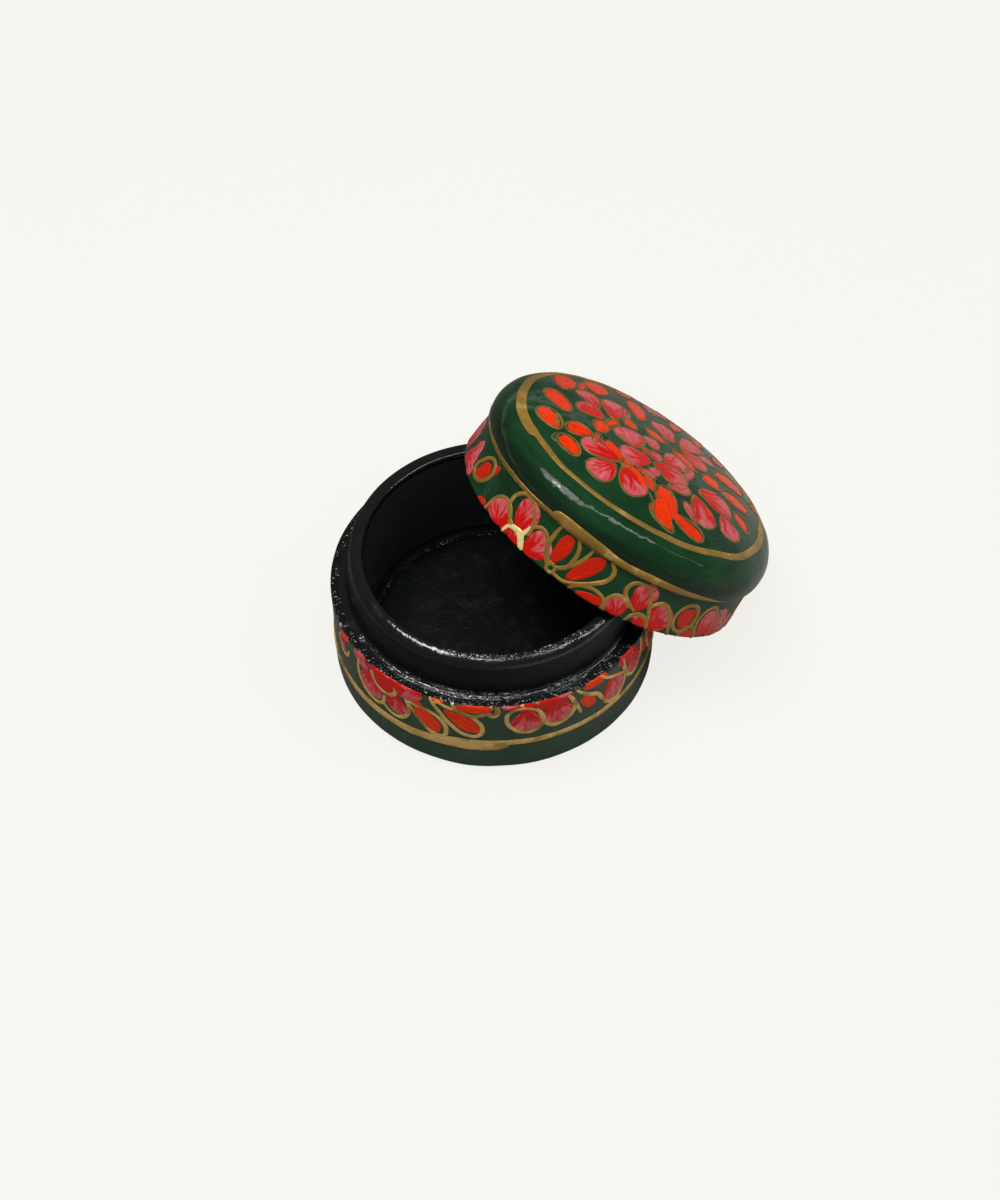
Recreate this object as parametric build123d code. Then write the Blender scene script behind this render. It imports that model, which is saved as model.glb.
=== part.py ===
"""Round lacquered papier mache box: a cup with a collar standing out of it, and a domed lid.

Millimetres, +Z up. The origin is under the middle of the cup, on the surface that the box stands
on. The lid is off: it leans towards +X, with the lowest point of its rim on that surface and the
inside of its rim against the lip of the collar.
"""
from build123d import *
from math import asin, cos, degrees, radians, sin, sqrt, tan
import os

# cup
shell_radius = 30.0         # outside of the cup
shell_wall = 2.8            # its top is the flat ledge round the collar
shell_floor = 2.8
ledge_height = 18.6         # top of the cup's wall, where the rim of the closed lid sits
foot_round = 0.9            # worn edge under the cup
ledge_round = 0.35          # softened outer edge of the ledge

# collar, the sleeve that the closed lid fits over
collar_proud = 7.8          # how far it stands out of the cup
collar_draft = 1.0          # its outside is this much smaller at the lip, in radius
lip_wall = 1.9              # wall at the lip
lip_round = 0.6
foot_wall = 3.5             # wall just above the floor
corner_cove = 1.6           # hollow pressed into the corner between wall and floor

# card disc on the floor of the cup
disc_thickness = 0.9
disc_gap = 0.15             # left all round its edge
disc_round = 0.25

# side of the lid
lid_clearance = 0.4         # between the lid's bore and the widest part of the collar, in radius
band_wall = 1.95
band_height = 8.9
band_draft = 0.65           # its outside is this much smaller at the top, in radius
rim_round_outside = 0.5
rim_round_inside = 0.25
band_top_round = 0.25

# domed top of the lid
crown_wall = 1.8
crown_bulge = 0.85          # how far the shoulder stands past the top of the band
shoulder_radius = 5.8       # of the curve between the side and the dome
shoulder_height = 1.95      # middle of that curve above the band
dome_slope = 25.0           # degrees, where the dome meets the shoulder
dome_rise = 4.85            # from there to the top of the dome
crown_edge_round = 0.3      # lower edge of the crown

# the lid put down beside the cup
touch_angle = 65.5          # degrees round the collar, from +X to where the rim touches its lip
touch_gap = 0.05            # left between the rim and the lip

# what follows from them
shell_bore = shell_radius - shell_wall
collar_top = ledge_height + collar_proud
lip_radius = shell_bore - collar_draft
mouth_radius = lip_radius - lip_wall
foot_bore = shell_bore - foot_wall
disc_hole = foot_bore - corner_cove
disc_top = shell_floor + disc_thickness
lid_bore = shell_bore + lid_clearance
lid_radius = lid_bore + band_wall
band_top_radius = lid_radius - band_draft


def at(radius, height):
    """A point of a section, which is drawn in the XZ plane."""
    return Vector(radius, 0, height)


def on_arc(centre, radius, angle):
    """The point of an arc at this angle above the horizontal, in degrees."""
    return centre + radius * at(cos(radians(angle)), sin(radians(angle)))


def arc(centre, radius, start, end):
    """An arc about centre, between two angles above the horizontal in degrees."""
    middle = (start + end) / 2
    return ThreePointArc(*[on_arc(centre, radius, angle) for angle in (start, middle, end)])


def turned(*lines):
    """The solid that a closed outline sweeps when it turns once about Z."""
    edges = [edge for line in lines for edge in line.edges()]
    return revolve(make_face(edges), Axis.Z)


def rounded(solid, *places):
    """Rounds circular edges of a turned solid, each given as (radius, height, round)."""
    for radius, height, size in places:
        chosen = [
            edge for edge in solid.edges().filter_by(GeomType.CIRCLE)
            if abs(edge.radius - radius) < 0.01 and abs(edge.arc_center.Z - height) < 0.01
        ]
        solid = fillet(chosen, size)
    return solid


def base_shell():
    """Cup moulded from paper pulp, with a flat ledge for its top edge."""
    section = Polyline(
        at(0, 0), at(shell_radius, 0), at(shell_radius, ledge_height), at(shell_bore, ledge_height),
        at(shell_bore, shell_floor), at(0, shell_floor), at(0, 0),
    )
    return rounded(
        turned(section),
        (shell_radius, 0, foot_round), (shell_radius, ledge_height, ledge_round),
    )


def collar():
    """Sleeve glued inside the cup, whose foot runs out in a cove round the card disc."""
    cove_top = disc_top + corner_cove
    wall = Polyline(
        at(foot_bore, cove_top), at(mouth_radius, collar_top), at(lip_radius, collar_top),
        at(shell_bore, ledge_height), at(shell_bore, shell_floor), at(disc_hole, shell_floor),
        at(disc_hole, disc_top),
    )
    cove = arc(at(disc_hole, cove_top), corner_cove, -90, 0)
    return rounded(
        turned(wall, cove),
        (lip_radius, collar_top, lip_round), (mouth_radius, collar_top, lip_round),
    )


def floor_disc():
    """Card disc that lines the floor."""
    disc = Pos(0, 0, shell_floor) * Cylinder(
        disc_hole - disc_gap, disc_thickness, align=(Align.CENTER, Align.CENTER, Align.MIN),
    )
    return rounded(disc, (disc_hole - disc_gap, disc_top, disc_round))


def lid_band():
    """Side of the lid, with its rim at height zero."""
    section = Polyline(
        at(lid_bore, 0), at(lid_radius, 0), at(band_top_radius, band_height),
        at(lid_bore, band_height), at(lid_bore, 0),
    )
    return rounded(
        turned(section),
        (lid_radius, 0, rim_round_outside), (lid_bore, 0, rim_round_inside),
        (band_top_radius, band_height, band_top_round),
    )


def crown_line(inset):
    """Half of the crown's outline from its lower edge to its top, set in by inset."""
    centre = at(band_top_radius + crown_bulge - shoulder_radius, band_height + shoulder_height)
    radius = shoulder_radius - inset
    meeting = on_arc(centre, radius, 90 - dome_slope)
    top = at(0, on_arc(centre, shoulder_radius, 90 - dome_slope).Z + dome_rise - inset)
    dome = Spline(
        meeting, top, tangents=[on_arc(at(0, 0), 1, 180 - dome_slope), at(-1, 0)],
    )
    return centre, radius, top, dome


def lid_crown():
    """Domed top of the lid, glued on the top edge of the band."""
    centre, radius, top, dome = crown_line(0)
    _, under_radius, under_top, under_dome = crown_line(crown_wall)
    edge_radius = centre.X + sqrt(radius**2 - shoulder_height**2)
    edge_angle = -degrees(asin(shoulder_height / radius))
    foot = Polyline(
        on_arc(centre, under_radius, 0), at(centre.X + under_radius, band_height),
        at(edge_radius, band_height),
    )
    crown = turned(
        arc(centre, radius, edge_angle, 90 - dome_slope), dome, Line(top, under_top), under_dome,
        arc(centre, under_radius, 0, 90 - dome_slope), foot,
    )
    return rounded(crown, (edge_radius, band_height, crown_edge_round))


def lean():
    """Where the lid lies: a lid standing upright at the origin is turned and moved by this."""
    touch_offset = lip_radius * sin(radians(touch_angle))
    touch_depth = sqrt(lid_bore**2 - touch_offset**2)
    angle = asin(collar_top / (touch_depth + lid_radius))
    height = (lid_radius - rim_round_outside) * sin(angle) + rim_round_outside * (1 - cos(angle))
    rise = collar_top - height
    across = sqrt((lid_bore - touch_gap)**2 - (rise / sin(angle))**2)
    reach = sqrt(lip_radius**2 - across**2) + rise / tan(angle)
    return Location((reach, 0, height), (0, degrees(angle), 0))


def main():
    """Builds every piece, puts the lid where it lies and writes one file for each."""
    pieces = {
        "base_shell": base_shell(),
        "base_collar": collar(),
        "floor_disc": floor_disc(),
        "lid_band": lean() * lid_band(),
        "lid_crown": lean() * lid_crown(),
    }
    os.makedirs("parts", exist_ok=True)
    for name, solid in pieces.items():
        export_step(solid, f"parts/{name}.step")
        print(name, "volume", round(solid.volume, 1), "mm3")
    print("lid lies at", lean())


main()
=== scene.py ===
"""Round lacquered box of papier mache with its lid off, leaning on the cup's collar."""

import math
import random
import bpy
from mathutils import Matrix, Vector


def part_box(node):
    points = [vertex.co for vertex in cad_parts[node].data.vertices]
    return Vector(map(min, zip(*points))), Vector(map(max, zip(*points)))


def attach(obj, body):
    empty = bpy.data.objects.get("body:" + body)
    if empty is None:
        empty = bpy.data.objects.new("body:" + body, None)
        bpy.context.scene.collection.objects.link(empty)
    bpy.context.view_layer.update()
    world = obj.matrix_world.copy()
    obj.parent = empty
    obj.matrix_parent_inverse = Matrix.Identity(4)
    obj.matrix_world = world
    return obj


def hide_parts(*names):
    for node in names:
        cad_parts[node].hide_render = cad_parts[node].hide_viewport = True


bl_info = {
    "name": "Lidded Papier Mache Box",
    "version": (1, 0, 0),
    "blender": (4, 5, 0),
    "location": "3D View > Sidebar > Papier Mache",
    "description": "A turned box of lacquered papier mache with flowers painted by hand",
    "category": "Object",
}

from contextlib import contextmanager

import bpy
from mathutils import Matrix, Vector, noise

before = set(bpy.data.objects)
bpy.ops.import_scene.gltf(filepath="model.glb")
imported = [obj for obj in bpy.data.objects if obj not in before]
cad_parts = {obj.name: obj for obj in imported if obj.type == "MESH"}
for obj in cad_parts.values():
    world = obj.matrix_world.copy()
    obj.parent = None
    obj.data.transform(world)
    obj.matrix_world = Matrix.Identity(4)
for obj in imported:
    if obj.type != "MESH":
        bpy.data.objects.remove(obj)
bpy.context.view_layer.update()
CUP_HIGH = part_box("base_shell")[1]
COLLAR_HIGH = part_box("base_collar")[1]
DISC_LOW, DISC_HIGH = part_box("floor_disc")
MM = 0.001

# how finely the shells are turned
TURN_STEPS = 288
ROUND_STEPS = 7                                 # in a rounded corner of a section
SHOULDER_STEPS = 20
DOME_STEPS = 34
WELD = 0.002 * MM
SMOOTH_SHELL = math.radians(50)

# the finer waves of the pulp, as shares of the broad ones
FINE_SPAN = 0.36
FINE_DEPTH = 0.35
FINE_SHIFT = Vector((7, 3, 1))

# where the section of the lid's band goes over from its outside to its inside
RIM_JOIN = 0.4 * MM
BAND_TOP_JOIN = 1.0 * MM
BAND_EDGE = 0.25 * MM                           # rounding at its top and of its bore

# the side of the lip that the lid wore: its middle, and how far round to either side it is worn
# fully and at all, in degrees
LIP_WORN = (-135, 62, 88)
LIP_WORN_DEPTH = 2 * MM

# dabs of paint
PETAL_CORNERS = 30
PETAL_TOP = 0.93                                # the top of a dab, as a share of its foot
PETAL_RINGS = (0.80, 0.80, 0.72, 0.62, 0.45)    # each ring of its top, as a share of the last
EDGE_WAVES = (0.11, 1.3)                        # slow waves of its edge: how deep and how many
RAGGED_WAVES = 4.5                              # how many quick ones
PETAL_LIFT = 0.02 * MM                          # petals stand above the lone dabs
TOUCH_LIFT = 0.11 * MM                          # and touches above the petals
LEVELS, LEVEL_STEP = 7, 0.004 * MM              # neighbours that overlap differ in height
SMOOTH_PAINT = math.radians(60)

# gold lines, in millimetres
STROKE_SPAN = 0.6                               # from one point of a line to the next
GOLD_BUILD = 0.12                               # height in which a line nears its full relief
OUTLINE_WIDTH = 0.5
OUTLINE_POINTS = 10
OUTLINE_SLIP = 0.12                             # how far an outline slips off its dab

# the camera, and how it is turned: its heading, how far down it looks and its roll, in degrees
CAMERA_PLACE = (-0.13135, -0.22890, 0.34833)
CAMERA_TURN = (59.903, 51.947, -0.327)
CAMERA_LENS = 68.9
CAMERA_SENSOR = 36.0

# the studio
FLOOR_RADIUS = 4.0
TRAY_PLACE = (0.012, 0, 0.02 * MM)
TRAY_RADIUS = 0.20
TRAY_HEIGHT = 0.05
LAMPS_AIM = (0.01, 0, 0.02)
LAMP_DISTANCE = 0.9
WINDOW_DISTANCE = 0.6


# ---------------------------------------------------------------- sizes and colours

def length(name, description, default):
    """A size that is shown in the sidebar in the scene's unit of length."""
    return bpy.props.FloatProperty(
        name=name, description=description, default=default, unit="LENGTH", precision=4,
    )


def colour(name, description, default):
    """A paint colour that is shown in the sidebar as a swatch."""
    return bpy.props.FloatVectorProperty(
        name=name, description=description, default=default, subtype="COLOR", size=3,
        min=0.0, max=1.0,
    )


class CupSizes(bpy.types.PropertyGroup):
    """Sizes of the cup, its collar and the card on its floor."""
    radius: length("Radius", "Outside of the cup", CUP_HIGH.x)
    ledge: length("Ledge height", "Flat top of the cup's wall", CUP_HIGH.z)
    foot_round: length("Foot round", "Worn edge under the cup", 0.6 * MM)
    ledge_round: length("Ledge round", "Softened outer edge of the ledge", 0.35 * MM)
    bore: length("Bore", "Inside radius of the cup, where the collar is glued", COLLAR_HIGH.x)
    floor: length("Floor", "Thickness of the cup's floor", DISC_LOW.z)
    collar_top: length("Collar height", "Lip of the collar above the table", COLLAR_HIGH.z)
    lip_radius: length("Lip radius", "Outside of the collar at its lip", 26.2 * MM)
    mouth_radius: length("Mouth radius", "Inside of the collar at its lip", 23.6 * MM)
    lip_round: length("Lip round", "Rounding of the lip's outer edge", 0.7 * MM)
    lip_crest: length("Lip crest", "Radius from which the worn lip curves down", 24.2 * MM)
    lip_wear: length("Lip wear", "How far the worn lip falls to its outer edge", 0.95 * MM)
    mouth_round: length("Mouth round", "Rounding of the lip's inner edge", 0.75 * MM)
    bead: length("Bead", "Lacquer gathered in the corner of collar and ledge", 0.85 * MM)
    foot_bore: length("Collar foot", "Inside of the collar just above the floor", 23.7 * MM)
    cove: length("Cove", "Hollow in the corner round the card", 1.6 * MM)
    disc_radius: length("Card radius", "Card disc on the floor", DISC_HIGH.x)
    disc_top: length("Card top", "Top of the card above the table", DISC_HIGH.z)


class LidSizes(bpy.types.PropertyGroup):
    """Sizes of the lid, and where it leans."""
    bore: length("Bore", "Inside radius of the lid", 27.6 * MM)
    rim_radius: length("Rim radius", "Outside of the lid at its rim", 29.55 * MM)
    band_radius: length("Band radius", "Outside of the band at its top", 28.9 * MM)
    band_height: length("Band height", "Straight side of the lid", 8.9 * MM)
    shoulder_radius: length("Shoulder", "Radius of the curve above the band", 5.8 * MM)
    shoulder_height: length("Shoulder height", "Middle of that curve above the band", 1.95 * MM)
    bulge: length("Bulge", "How far the shoulder stands past the band", 0.85 * MM)
    crown_edge: length("Crown edge", "Rounding of the crown's lower edge", 0.25 * MM)
    crown_wall: length("Crown wall", "Thickness of the crown", 1.8 * MM)
    dome_rise: length("Dome rise", "Top of the dome above the shoulder", 4.85 * MM)
    dome_slope: bpy.props.FloatProperty(
        name="Dome slope", description="Slope where the dome meets the shoulder",
        default=math.radians(25.0), subtype="ANGLE",
    )
    touch_angle: bpy.props.FloatProperty(
        name="Touch angle", description="Where the rim touches the lip, round the collar",
        default=math.radians(65.5), subtype="ANGLE",
    )
    rim_round: length("Rim round", "Rounding of the rim", 0.5 * MM)
    touch_gap: length("Touch gap", "Left between the rim and the lip", 0.05 * MM)


class PaintSizes(bpy.types.PropertyGroup):
    """How thickly the ornament is painted, and how uneven the shell is under it."""
    relief: length("Paint relief", "How far a dab of paint stands up", 0.045 * MM)
    gold_relief: length("Gold relief", "How far a gold line stands up", 0.16 * MM)
    sunk: length("Sunk edge", "How far the edge of a dab lies in the lacquer", 0.03 * MM)
    uneven: length("Unevenness", "Waviness of the pulp under the lacquer", 0.13 * MM)
    uneven_span: length("Unevenness span", "Distance from one swelling to the next", 9.0 * MM)


class PaintColours(bpy.types.PropertyGroup):
    """Colours of the lacquers and paints, and of the painted shade, sheen and glints."""
    green: colour("Green lacquer", "Ground of the cup and lid", (0.0105, 0.062, 0.020))
    # Deep green is both where the brush left more lacquer and the painted shade on the lid's
    # shoulder.
    deep_and_shaded_green: colour("Deep green", "Where the brush left more lacquer", (0.0065, 0.019, 0.009))
    # Rubbed green is part wear and part painted sheen, standing for the pale floor's reflection on
    # the cup.
    sheen_and_wear_green: colour("Rubbed green", "Where the cup's lacquer is dull", (0.046, 0.069, 0.050))
    black: colour("Black lacquer", "Inside, collar and ledge", (0.0046, 0.0066, 0.0062))
    worn_black: colour("Worn black", "Where the black is rubbed thin", (0.012, 0.0155, 0.0145))
    # Inside black is painted lighter than the black, as a painted sheen for the dim inside of the
    # collar.
    wall_sheen_black: colour("Inside black", "Wall inside the collar", (0.027, 0.032, 0.030))
    # Pale grey painted on the crests of wrinkled black lacquer as painted glints.
    painted_glint_grey: colour("Dusty grey", "Crests of wrinkled lacquer", (0.32, 0.37, 0.355))
    gold: colour("Gold", "Lines and outlines", (0.35, 0.195, 0.038))
    thin_gold: colour("Thin gold", "Where the gold is brushed out", (0.15, 0.10, 0.026))
    pale_gold: colour("Pale gold", "Where the gold is thick", (0.70, 0.46, 0.15))
    heart_gold: colour("Heart gold", "Thick gold at the heart of a flower", (0.92, 0.76, 0.33))
    red: colour("Red", "Heart of a petal", (0.52, 0.007, 0.005))
    pink: colour("Pink", "Tip of a petal", (0.53, 0.088, 0.104))
    pale_pink: colour("Pale pink", "Last strokes on a petal", (0.72, 0.25, 0.26))
    orange: colour("Orange", "Single dabs", (0.77, 0.036, 0.002))
    deep_orange: colour("Deep orange", "Where a dab is thin", (0.50, 0.015, 0.003))
    floor: colour("Floor", "Paper that the box stands on", (0.60, 0.595, 0.575))
    backdrop: colour("Backdrop", "What is seen behind the box", (0.985, 0.97, 0.925))


def cup_sizes():
    return bpy.context.scene.box_cup


def lid_sizes():
    return bpy.context.scene.box_lid


def paint_sizes():
    return bpy.context.scene.box_paint


def paint(name):
    """A colour from the sidebar, with an alpha of one."""
    return (*getattr(bpy.context.scene.box_colours, name), 1.0)


# ---------------------------------------------------------------- sections and turning

def on_arc(centre, radius, angle):
    """A point of an arc in a section, as (radius, height), with the angle in degrees."""
    turn = math.radians(angle)
    return centre[0] + radius * math.cos(turn), centre[1] + radius * math.sin(turn)


def arc(centre, radius, start, end, steps):
    """The points of an arc between two angles in degrees, ends included."""
    return [on_arc(centre, radius, start + (end - start) * i / steps) for i in range(steps + 1)]


def softened(corners, span):
    """A section's outline from corners (radius, height, round), rounded and evenly divided."""
    line = [corners[0][:2]]
    for before, here, after in zip(corners, corners[1:], corners[2:]):
        at, size = Vector(here[:2]), here[2]
        if size:
            back = (Vector(before[:2]) - at).normalized()
            on = (Vector(after[:2]) - at).normalized()
            half = back.angle(on) / 2
            reach = size / math.tan(half)
            centre = at + (back + on).normalized() * size / math.sin(half)
            start, end = at + back * reach, at + on * reach
            first = start - centre
            sweep = first.angle_signed(end - centre)
            line += [
                tuple(centre + Matrix.Rotation(-sweep * i / ROUND_STEPS, 2) @ first)
                for i in range(ROUND_STEPS + 1)
            ]
        else:
            line.append(tuple(at))
    line.append(corners[-1][:2])
    return divided(line, span)


def divided(line, span):
    """The same outline with its long runs divided, so that the shell can be uneven."""
    made = [line[0]]
    for a, b in zip(line, line[1:]):
        parts = max(1, round(math.dist(a, b) / span))
        made += [
            (a[0] + (b[0] - a[0]) * i / parts, a[1] + (b[1] - a[1]) * i / parts)
            for i in range(1, parts + 1)
        ]
    return made


@contextmanager
def editing():
    """Edit mode, with all of the piece selected."""
    bpy.ops.object.mode_set(mode="EDIT")
    bpy.ops.mesh.select_all(action="SELECT")
    yield
    bpy.ops.object.mode_set(mode="OBJECT")


def turned(name, section):
    """A vertex is drawn out along the section, and the line is spun round the upright axis."""
    bpy.ops.object.select_all(action="DESELECT")
    bpy.ops.mesh.primitive_plane_add(size=MM)
    piece = bpy.context.object
    piece.name = piece.data.name = name
    with editing():
        bpy.ops.mesh.merge(type="CENTER")
        bpy.ops.transform.translate(value=(section[0][0], 0, section[0][1]))
        for here, there in zip(section, section[1:]):
            step = (there[0] - here[0], 0, there[1] - here[1])
            bpy.ops.mesh.extrude_vertices_move(TRANSFORM_OT_translate={"value": step})
        bpy.ops.mesh.select_all(action="SELECT")
        bpy.ops.mesh.spin(steps=TURN_STEPS, angle=math.tau, center=(0, 0, 0), axis=(0, 0, 1))
        bpy.ops.mesh.select_all(action="SELECT")
        bpy.ops.mesh.remove_doubles(threshold=WELD)
        bpy.ops.mesh.normals_make_consistent(inside=False)
    bpy.ops.object.shade_smooth_by_angle(angle=SMOOTH_SHELL)
    return piece


def from_axis(place):
    """Distance from the upright axis."""
    return math.hypot(place.x, place.y)


def outward(place, normal):
    """Above nought where a surface faces away from the upright axis."""
    return place.x * normal.x + place.y * normal.y


def unevenness(place):
    """How far the pulp swells or sinks at a place of an upright shell, in metres."""
    size = paint_sizes()
    broad = noise.noise(Vector(place) / size.uneven_span)
    fine = noise.noise(Vector(place) / (size.uneven_span * FINE_SPAN) + FINE_SHIFT)
    return size.uneven * (broad + FINE_DEPTH * fine)


def made_uneven(piece, share):
    """Moves each vertex along its normal. share says how much of the unevenness it gets."""
    normals = [v.normal.copy() for v in piece.data.vertices]
    for v, normal in zip(piece.data.vertices, normals):
        v.co += normal * (unevenness(v.co) * share(v.co, normal))
    piece.data.update()


def lid_place():
    """Turns and moves an upright lid to where it leans, with its rim on the lip of the collar."""
    cup, lid = cup_sizes(), lid_sizes()
    touch_depth = math.sqrt(lid.bore**2 - (cup.lip_radius * math.sin(lid.touch_angle))**2)
    turn = math.asin(cup.collar_top / (touch_depth + lid.rim_radius))
    height = (lid.rim_radius - lid.rim_round) * math.sin(turn)
    height += lid.rim_round * (1 - math.cos(turn))
    rise = cup.collar_top - height
    across = math.sqrt((lid.bore - lid.touch_gap)**2 - (rise / math.sin(turn))**2)
    reach = math.sqrt(cup.lip_radius**2 - across**2) + rise / math.tan(turn)
    return Matrix.Translation((reach, 0, height)) @ Matrix.Rotation(turn, 4, "Y")


def finished(piece, body, slot, *nodes):
    """Says which body a piece rides on and which CAD nodes it stands for. slot, its finish, is not
    used.
    """
    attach(piece, body)
    if nodes:
        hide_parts(*nodes)


def coat(piece, *names):
    """Gives a piece its lacquers or paints, in the order of its faces' indices."""
    piece.data.materials.clear()
    for name in names:
        piece.data.materials.append(bpy.data.materials[name])


def cup_side():
    """The outside of the cup as far as its ledge, from the table up."""
    cup = cup_sizes()
    corners = [
        (cup.radius - 2 * MM, 0, 0), (cup.radius, 0, cup.foot_round),
        (cup.radius, cup.ledge, cup.ledge_round), (cup.bore, cup.ledge, 0),
    ]
    return softened(corners, span=0.9 * MM)


def band_side():
    """The outside of the lid's band, from under its rim up."""
    lid = lid_sizes()
    corners = [
        (lid.bore + RIM_JOIN, 0, 0), (lid.rim_radius, 0, lid.rim_round),
        (lid.band_radius, lid.band_height, BAND_EDGE),
        (lid.bore + BAND_TOP_JOIN, lid.band_height, 0),
    ]
    return softened(corners, span=0.7 * MM)


def crown_side(inset=0.0):
    """Half of the crown's outline, from the band up over the shoulder to the middle."""
    lid = lid_sizes()
    centre_radius = lid.band_radius + lid.bulge - lid.shoulder_radius
    centre = (centre_radius, lid.band_height + lid.shoulder_height)
    radius = lid.shoulder_radius - inset
    start = -math.degrees(math.asin(lid.shoulder_height / radius)) if inset == 0 else 0
    end = 90 - math.degrees(lid.dome_slope)
    shoulder = arc(centre, radius, start, end, SHOULDER_STEPS)
    meeting = shoulder[-1]
    if inset == 0:
        edge = shoulder[0]
        corners = [(edge[0] - 1.0 * MM, edge[1], 0), (*edge, lid.crown_edge), (*shoulder[2], 0)]
        shoulder = softened(corners, span=0.6 * MM) + shoulder[3:]
    power = meeting[0] * math.tan(lid.dome_slope) / lid.dome_rise
    dome = [
        (r, meeting[1] + lid.dome_rise * (1 - (r / meeting[0])**power))
        for r in (meeting[0] * (1 - i / DOME_STEPS) for i in range(1, DOME_STEPS + 1))
    ]
    return shoulder + dome


# ---------------------------------------------------------------- painting on the shells

class Wall:
    """An outside surface that turns round the axis. A plan's x runs round it, in degrees, and its
    y up the outline, in millimetres. scale is how many degrees a millimetre takes."""

    def __init__(self, line, zero, radius, lowest, highest, place=None):
        self.line = line
        self.runs = [0.0]
        for a, b in zip(line, line[1:]):
            self.runs.append(self.runs[-1] + math.dist(a, b))
        self.zero, self.lowest, self.highest = zero, lowest, highest
        self.scale = math.degrees(MM / radius)
        self.place = place or Matrix.Identity(4)

    def spot(self, x, y, height):
        """Where the plan's point lies, at a height above the surface in metres."""
        run = max(self.lowest, min(self.highest, y * MM)) + self.zero
        i = 0
        while i < len(self.runs) - 2 and self.runs[i + 1] < run:
            i += 1
        a, b = Vector(self.line[i]), Vector(self.line[i + 1])
        outline = a.lerp(b, (run - self.runs[i]) / (self.runs[i + 1] - self.runs[i]))
        along = (b - a).normalized()
        turn = math.radians(x)
        flat = Vector((math.cos(turn), math.sin(turn), 0))
        point = flat * outline.x + Vector((0, 0, outline.y))
        normal = flat * along.y + Vector((0, 0, -along.x))
        return self.place @ (point + normal * (height + unevenness(point)))


class Dome:
    """The crown seen from straight above. A plan's x and y are millimetres from its middle."""
    scale = 1.0

    def __init__(self):
        self.line = list(reversed(crown_side()))
        self.place = lid_place()

    def spot(self, x, y, height):
        """Where the plan's point lies, at a height above the surface in metres."""
        x, y = x * MM, y * MM
        r = math.hypot(x, y)
        i = 0
        while i < len(self.line) - 2 and self.line[i + 1][0] < r:
            i += 1
        (r0, z0), (r1, z1) = self.line[i], self.line[i + 1]
        slope = (z1 - z0) / (r1 - r0)
        point = Vector((x, y, z0 + slope * (r - r0)))
        out = Vector((x / r, y / r, 0)) if r else Vector((1, 0, 0))
        normal = (out * -slope + Vector((0, 0, 1))).normalized()
        return self.place @ (point + normal * (height + unevenness(point)))


def petal_blank():
    """One dab of paint, a disc of radius one whose edge is sunk. Every petal is a copy."""
    bpy.ops.object.select_all(action="DESELECT")
    bpy.ops.mesh.primitive_circle_add(vertices=PETAL_CORNERS, radius=1.0, fill_type="NGON")
    blank = bpy.context.object
    with editing():
        bpy.ops.mesh.extrude_region_move(TRANSFORM_OT_translate={"value": (0, 0, 1)})
        bpy.ops.transform.resize(value=(PETAL_TOP, PETAL_TOP, 1))
        for inner in PETAL_RINGS:
            bpy.ops.mesh.extrude_region_move()
            bpy.ops.transform.resize(value=(inner, inner, 1))
        bpy.ops.mesh.poke()
    points = [v.co.copy() for v in blank.data.vertices]
    faces = [tuple(f.vertices) for f in blank.data.polygons]
    bpy.data.objects.remove(blank)
    return points, faces


def petal_point(x, y, long, wide, taper, direction):
    """A point of a unit disc carried to a dab, which is narrow where the brush was set down and
    broad and round at its tip, in the direction in degrees."""
    turn = math.radians(direction)
    u, v = x * long / 2, y * wide / 2 * (1 + taper * x) / (1 + 0.2 * taper)
    return u * math.cos(turn) - v * math.sin(turn), u * math.sin(turn) + v * math.cos(turn)


def dabs(name, surface, motifs, colours, seed, taper=0.2, lift=0.0, ragged=0.03):
    """A piece of many dabs of paint. Each motif is x, y, length, width, direction and tone."""
    points, faces = petal_blank()
    chance = random.Random(seed)
    size = paint_sizes()
    deep, waves = EDGE_WAVES
    vertices, polygons, across, tones = [], [], [], []
    for number, (x, y, long, wide, direction, tone) in enumerate(motifs):
        lean = taper * chance.uniform(0.75, 1.2)
        seat = Vector((chance.uniform(0, 90), chance.uniform(0, 90), number * 3.1))
        first = len(vertices)
        top = size.relief * (1 + 0.4 * chance.random()) + lift + LEVEL_STEP * (number % LEVELS)
        mark = chance.random()
        for p in points:
            flat = Vector((p.x, p.y, 0))
            edge = 1 + deep * noise.noise(flat * waves + seat)
            edge += ragged * noise.noise(flat * RAGGED_WAVES + seat)
            px, py = petal_point(p.x * edge, p.y * edge, long, wide, lean, direction)
            height = top if p.z > 0.5 else -size.sunk
            vertices.append(surface.spot(x + px * surface.scale, y + py, height))
            across.append((0.5 + p.x / 2, 0.5 + p.y / 2))
            tones.append((tone, mark))
        polygons += [tuple(first + i for i in f) for f in faces]
    piece = from_points(name, vertices, polygons)
    written(piece, across, tones)
    coat(piece, colours)
    return piece


def from_points(name, vertices, polygons):
    """A new piece whose mesh is given, smooth except at its sunk edges."""
    mesh = bpy.data.meshes.new(name)
    mesh.from_pydata(vertices, [], polygons)
    piece = chosen(bpy.data.objects.new(name, mesh))
    bpy.ops.object.shade_smooth_by_angle(angle=SMOOTH_PAINT)
    return piece


def chosen(piece):
    """Puts a new object in the scene as the only one that is selected."""
    bpy.ops.object.select_all(action="DESELECT")
    bpy.context.collection.objects.link(piece)
    bpy.context.view_layer.objects.active = piece
    piece.select_set(True)
    return piece


def mapped(mesh, places):
    """Stores a place for each vertex as the UV map that the paints read."""
    layer = mesh.uv_layers.active or mesh.uv_layers.new(name="dab")
    layer.name = "dab"
    for loop in mesh.loops:
        layer.data[loop.index].uv = places[loop.vertex_index]


def written(piece, across, tones):
    """Stores where a vertex lies in its dab as the UV map, and the dab's tone and mark."""
    mapped(piece.data, across)
    for name, values in zip(("tone", "mark"), zip(*tones)):
        layer = piece.data.attributes.new(name, "FLOAT", "POINT")
        layer.data.foreach_set("value", values)


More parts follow.
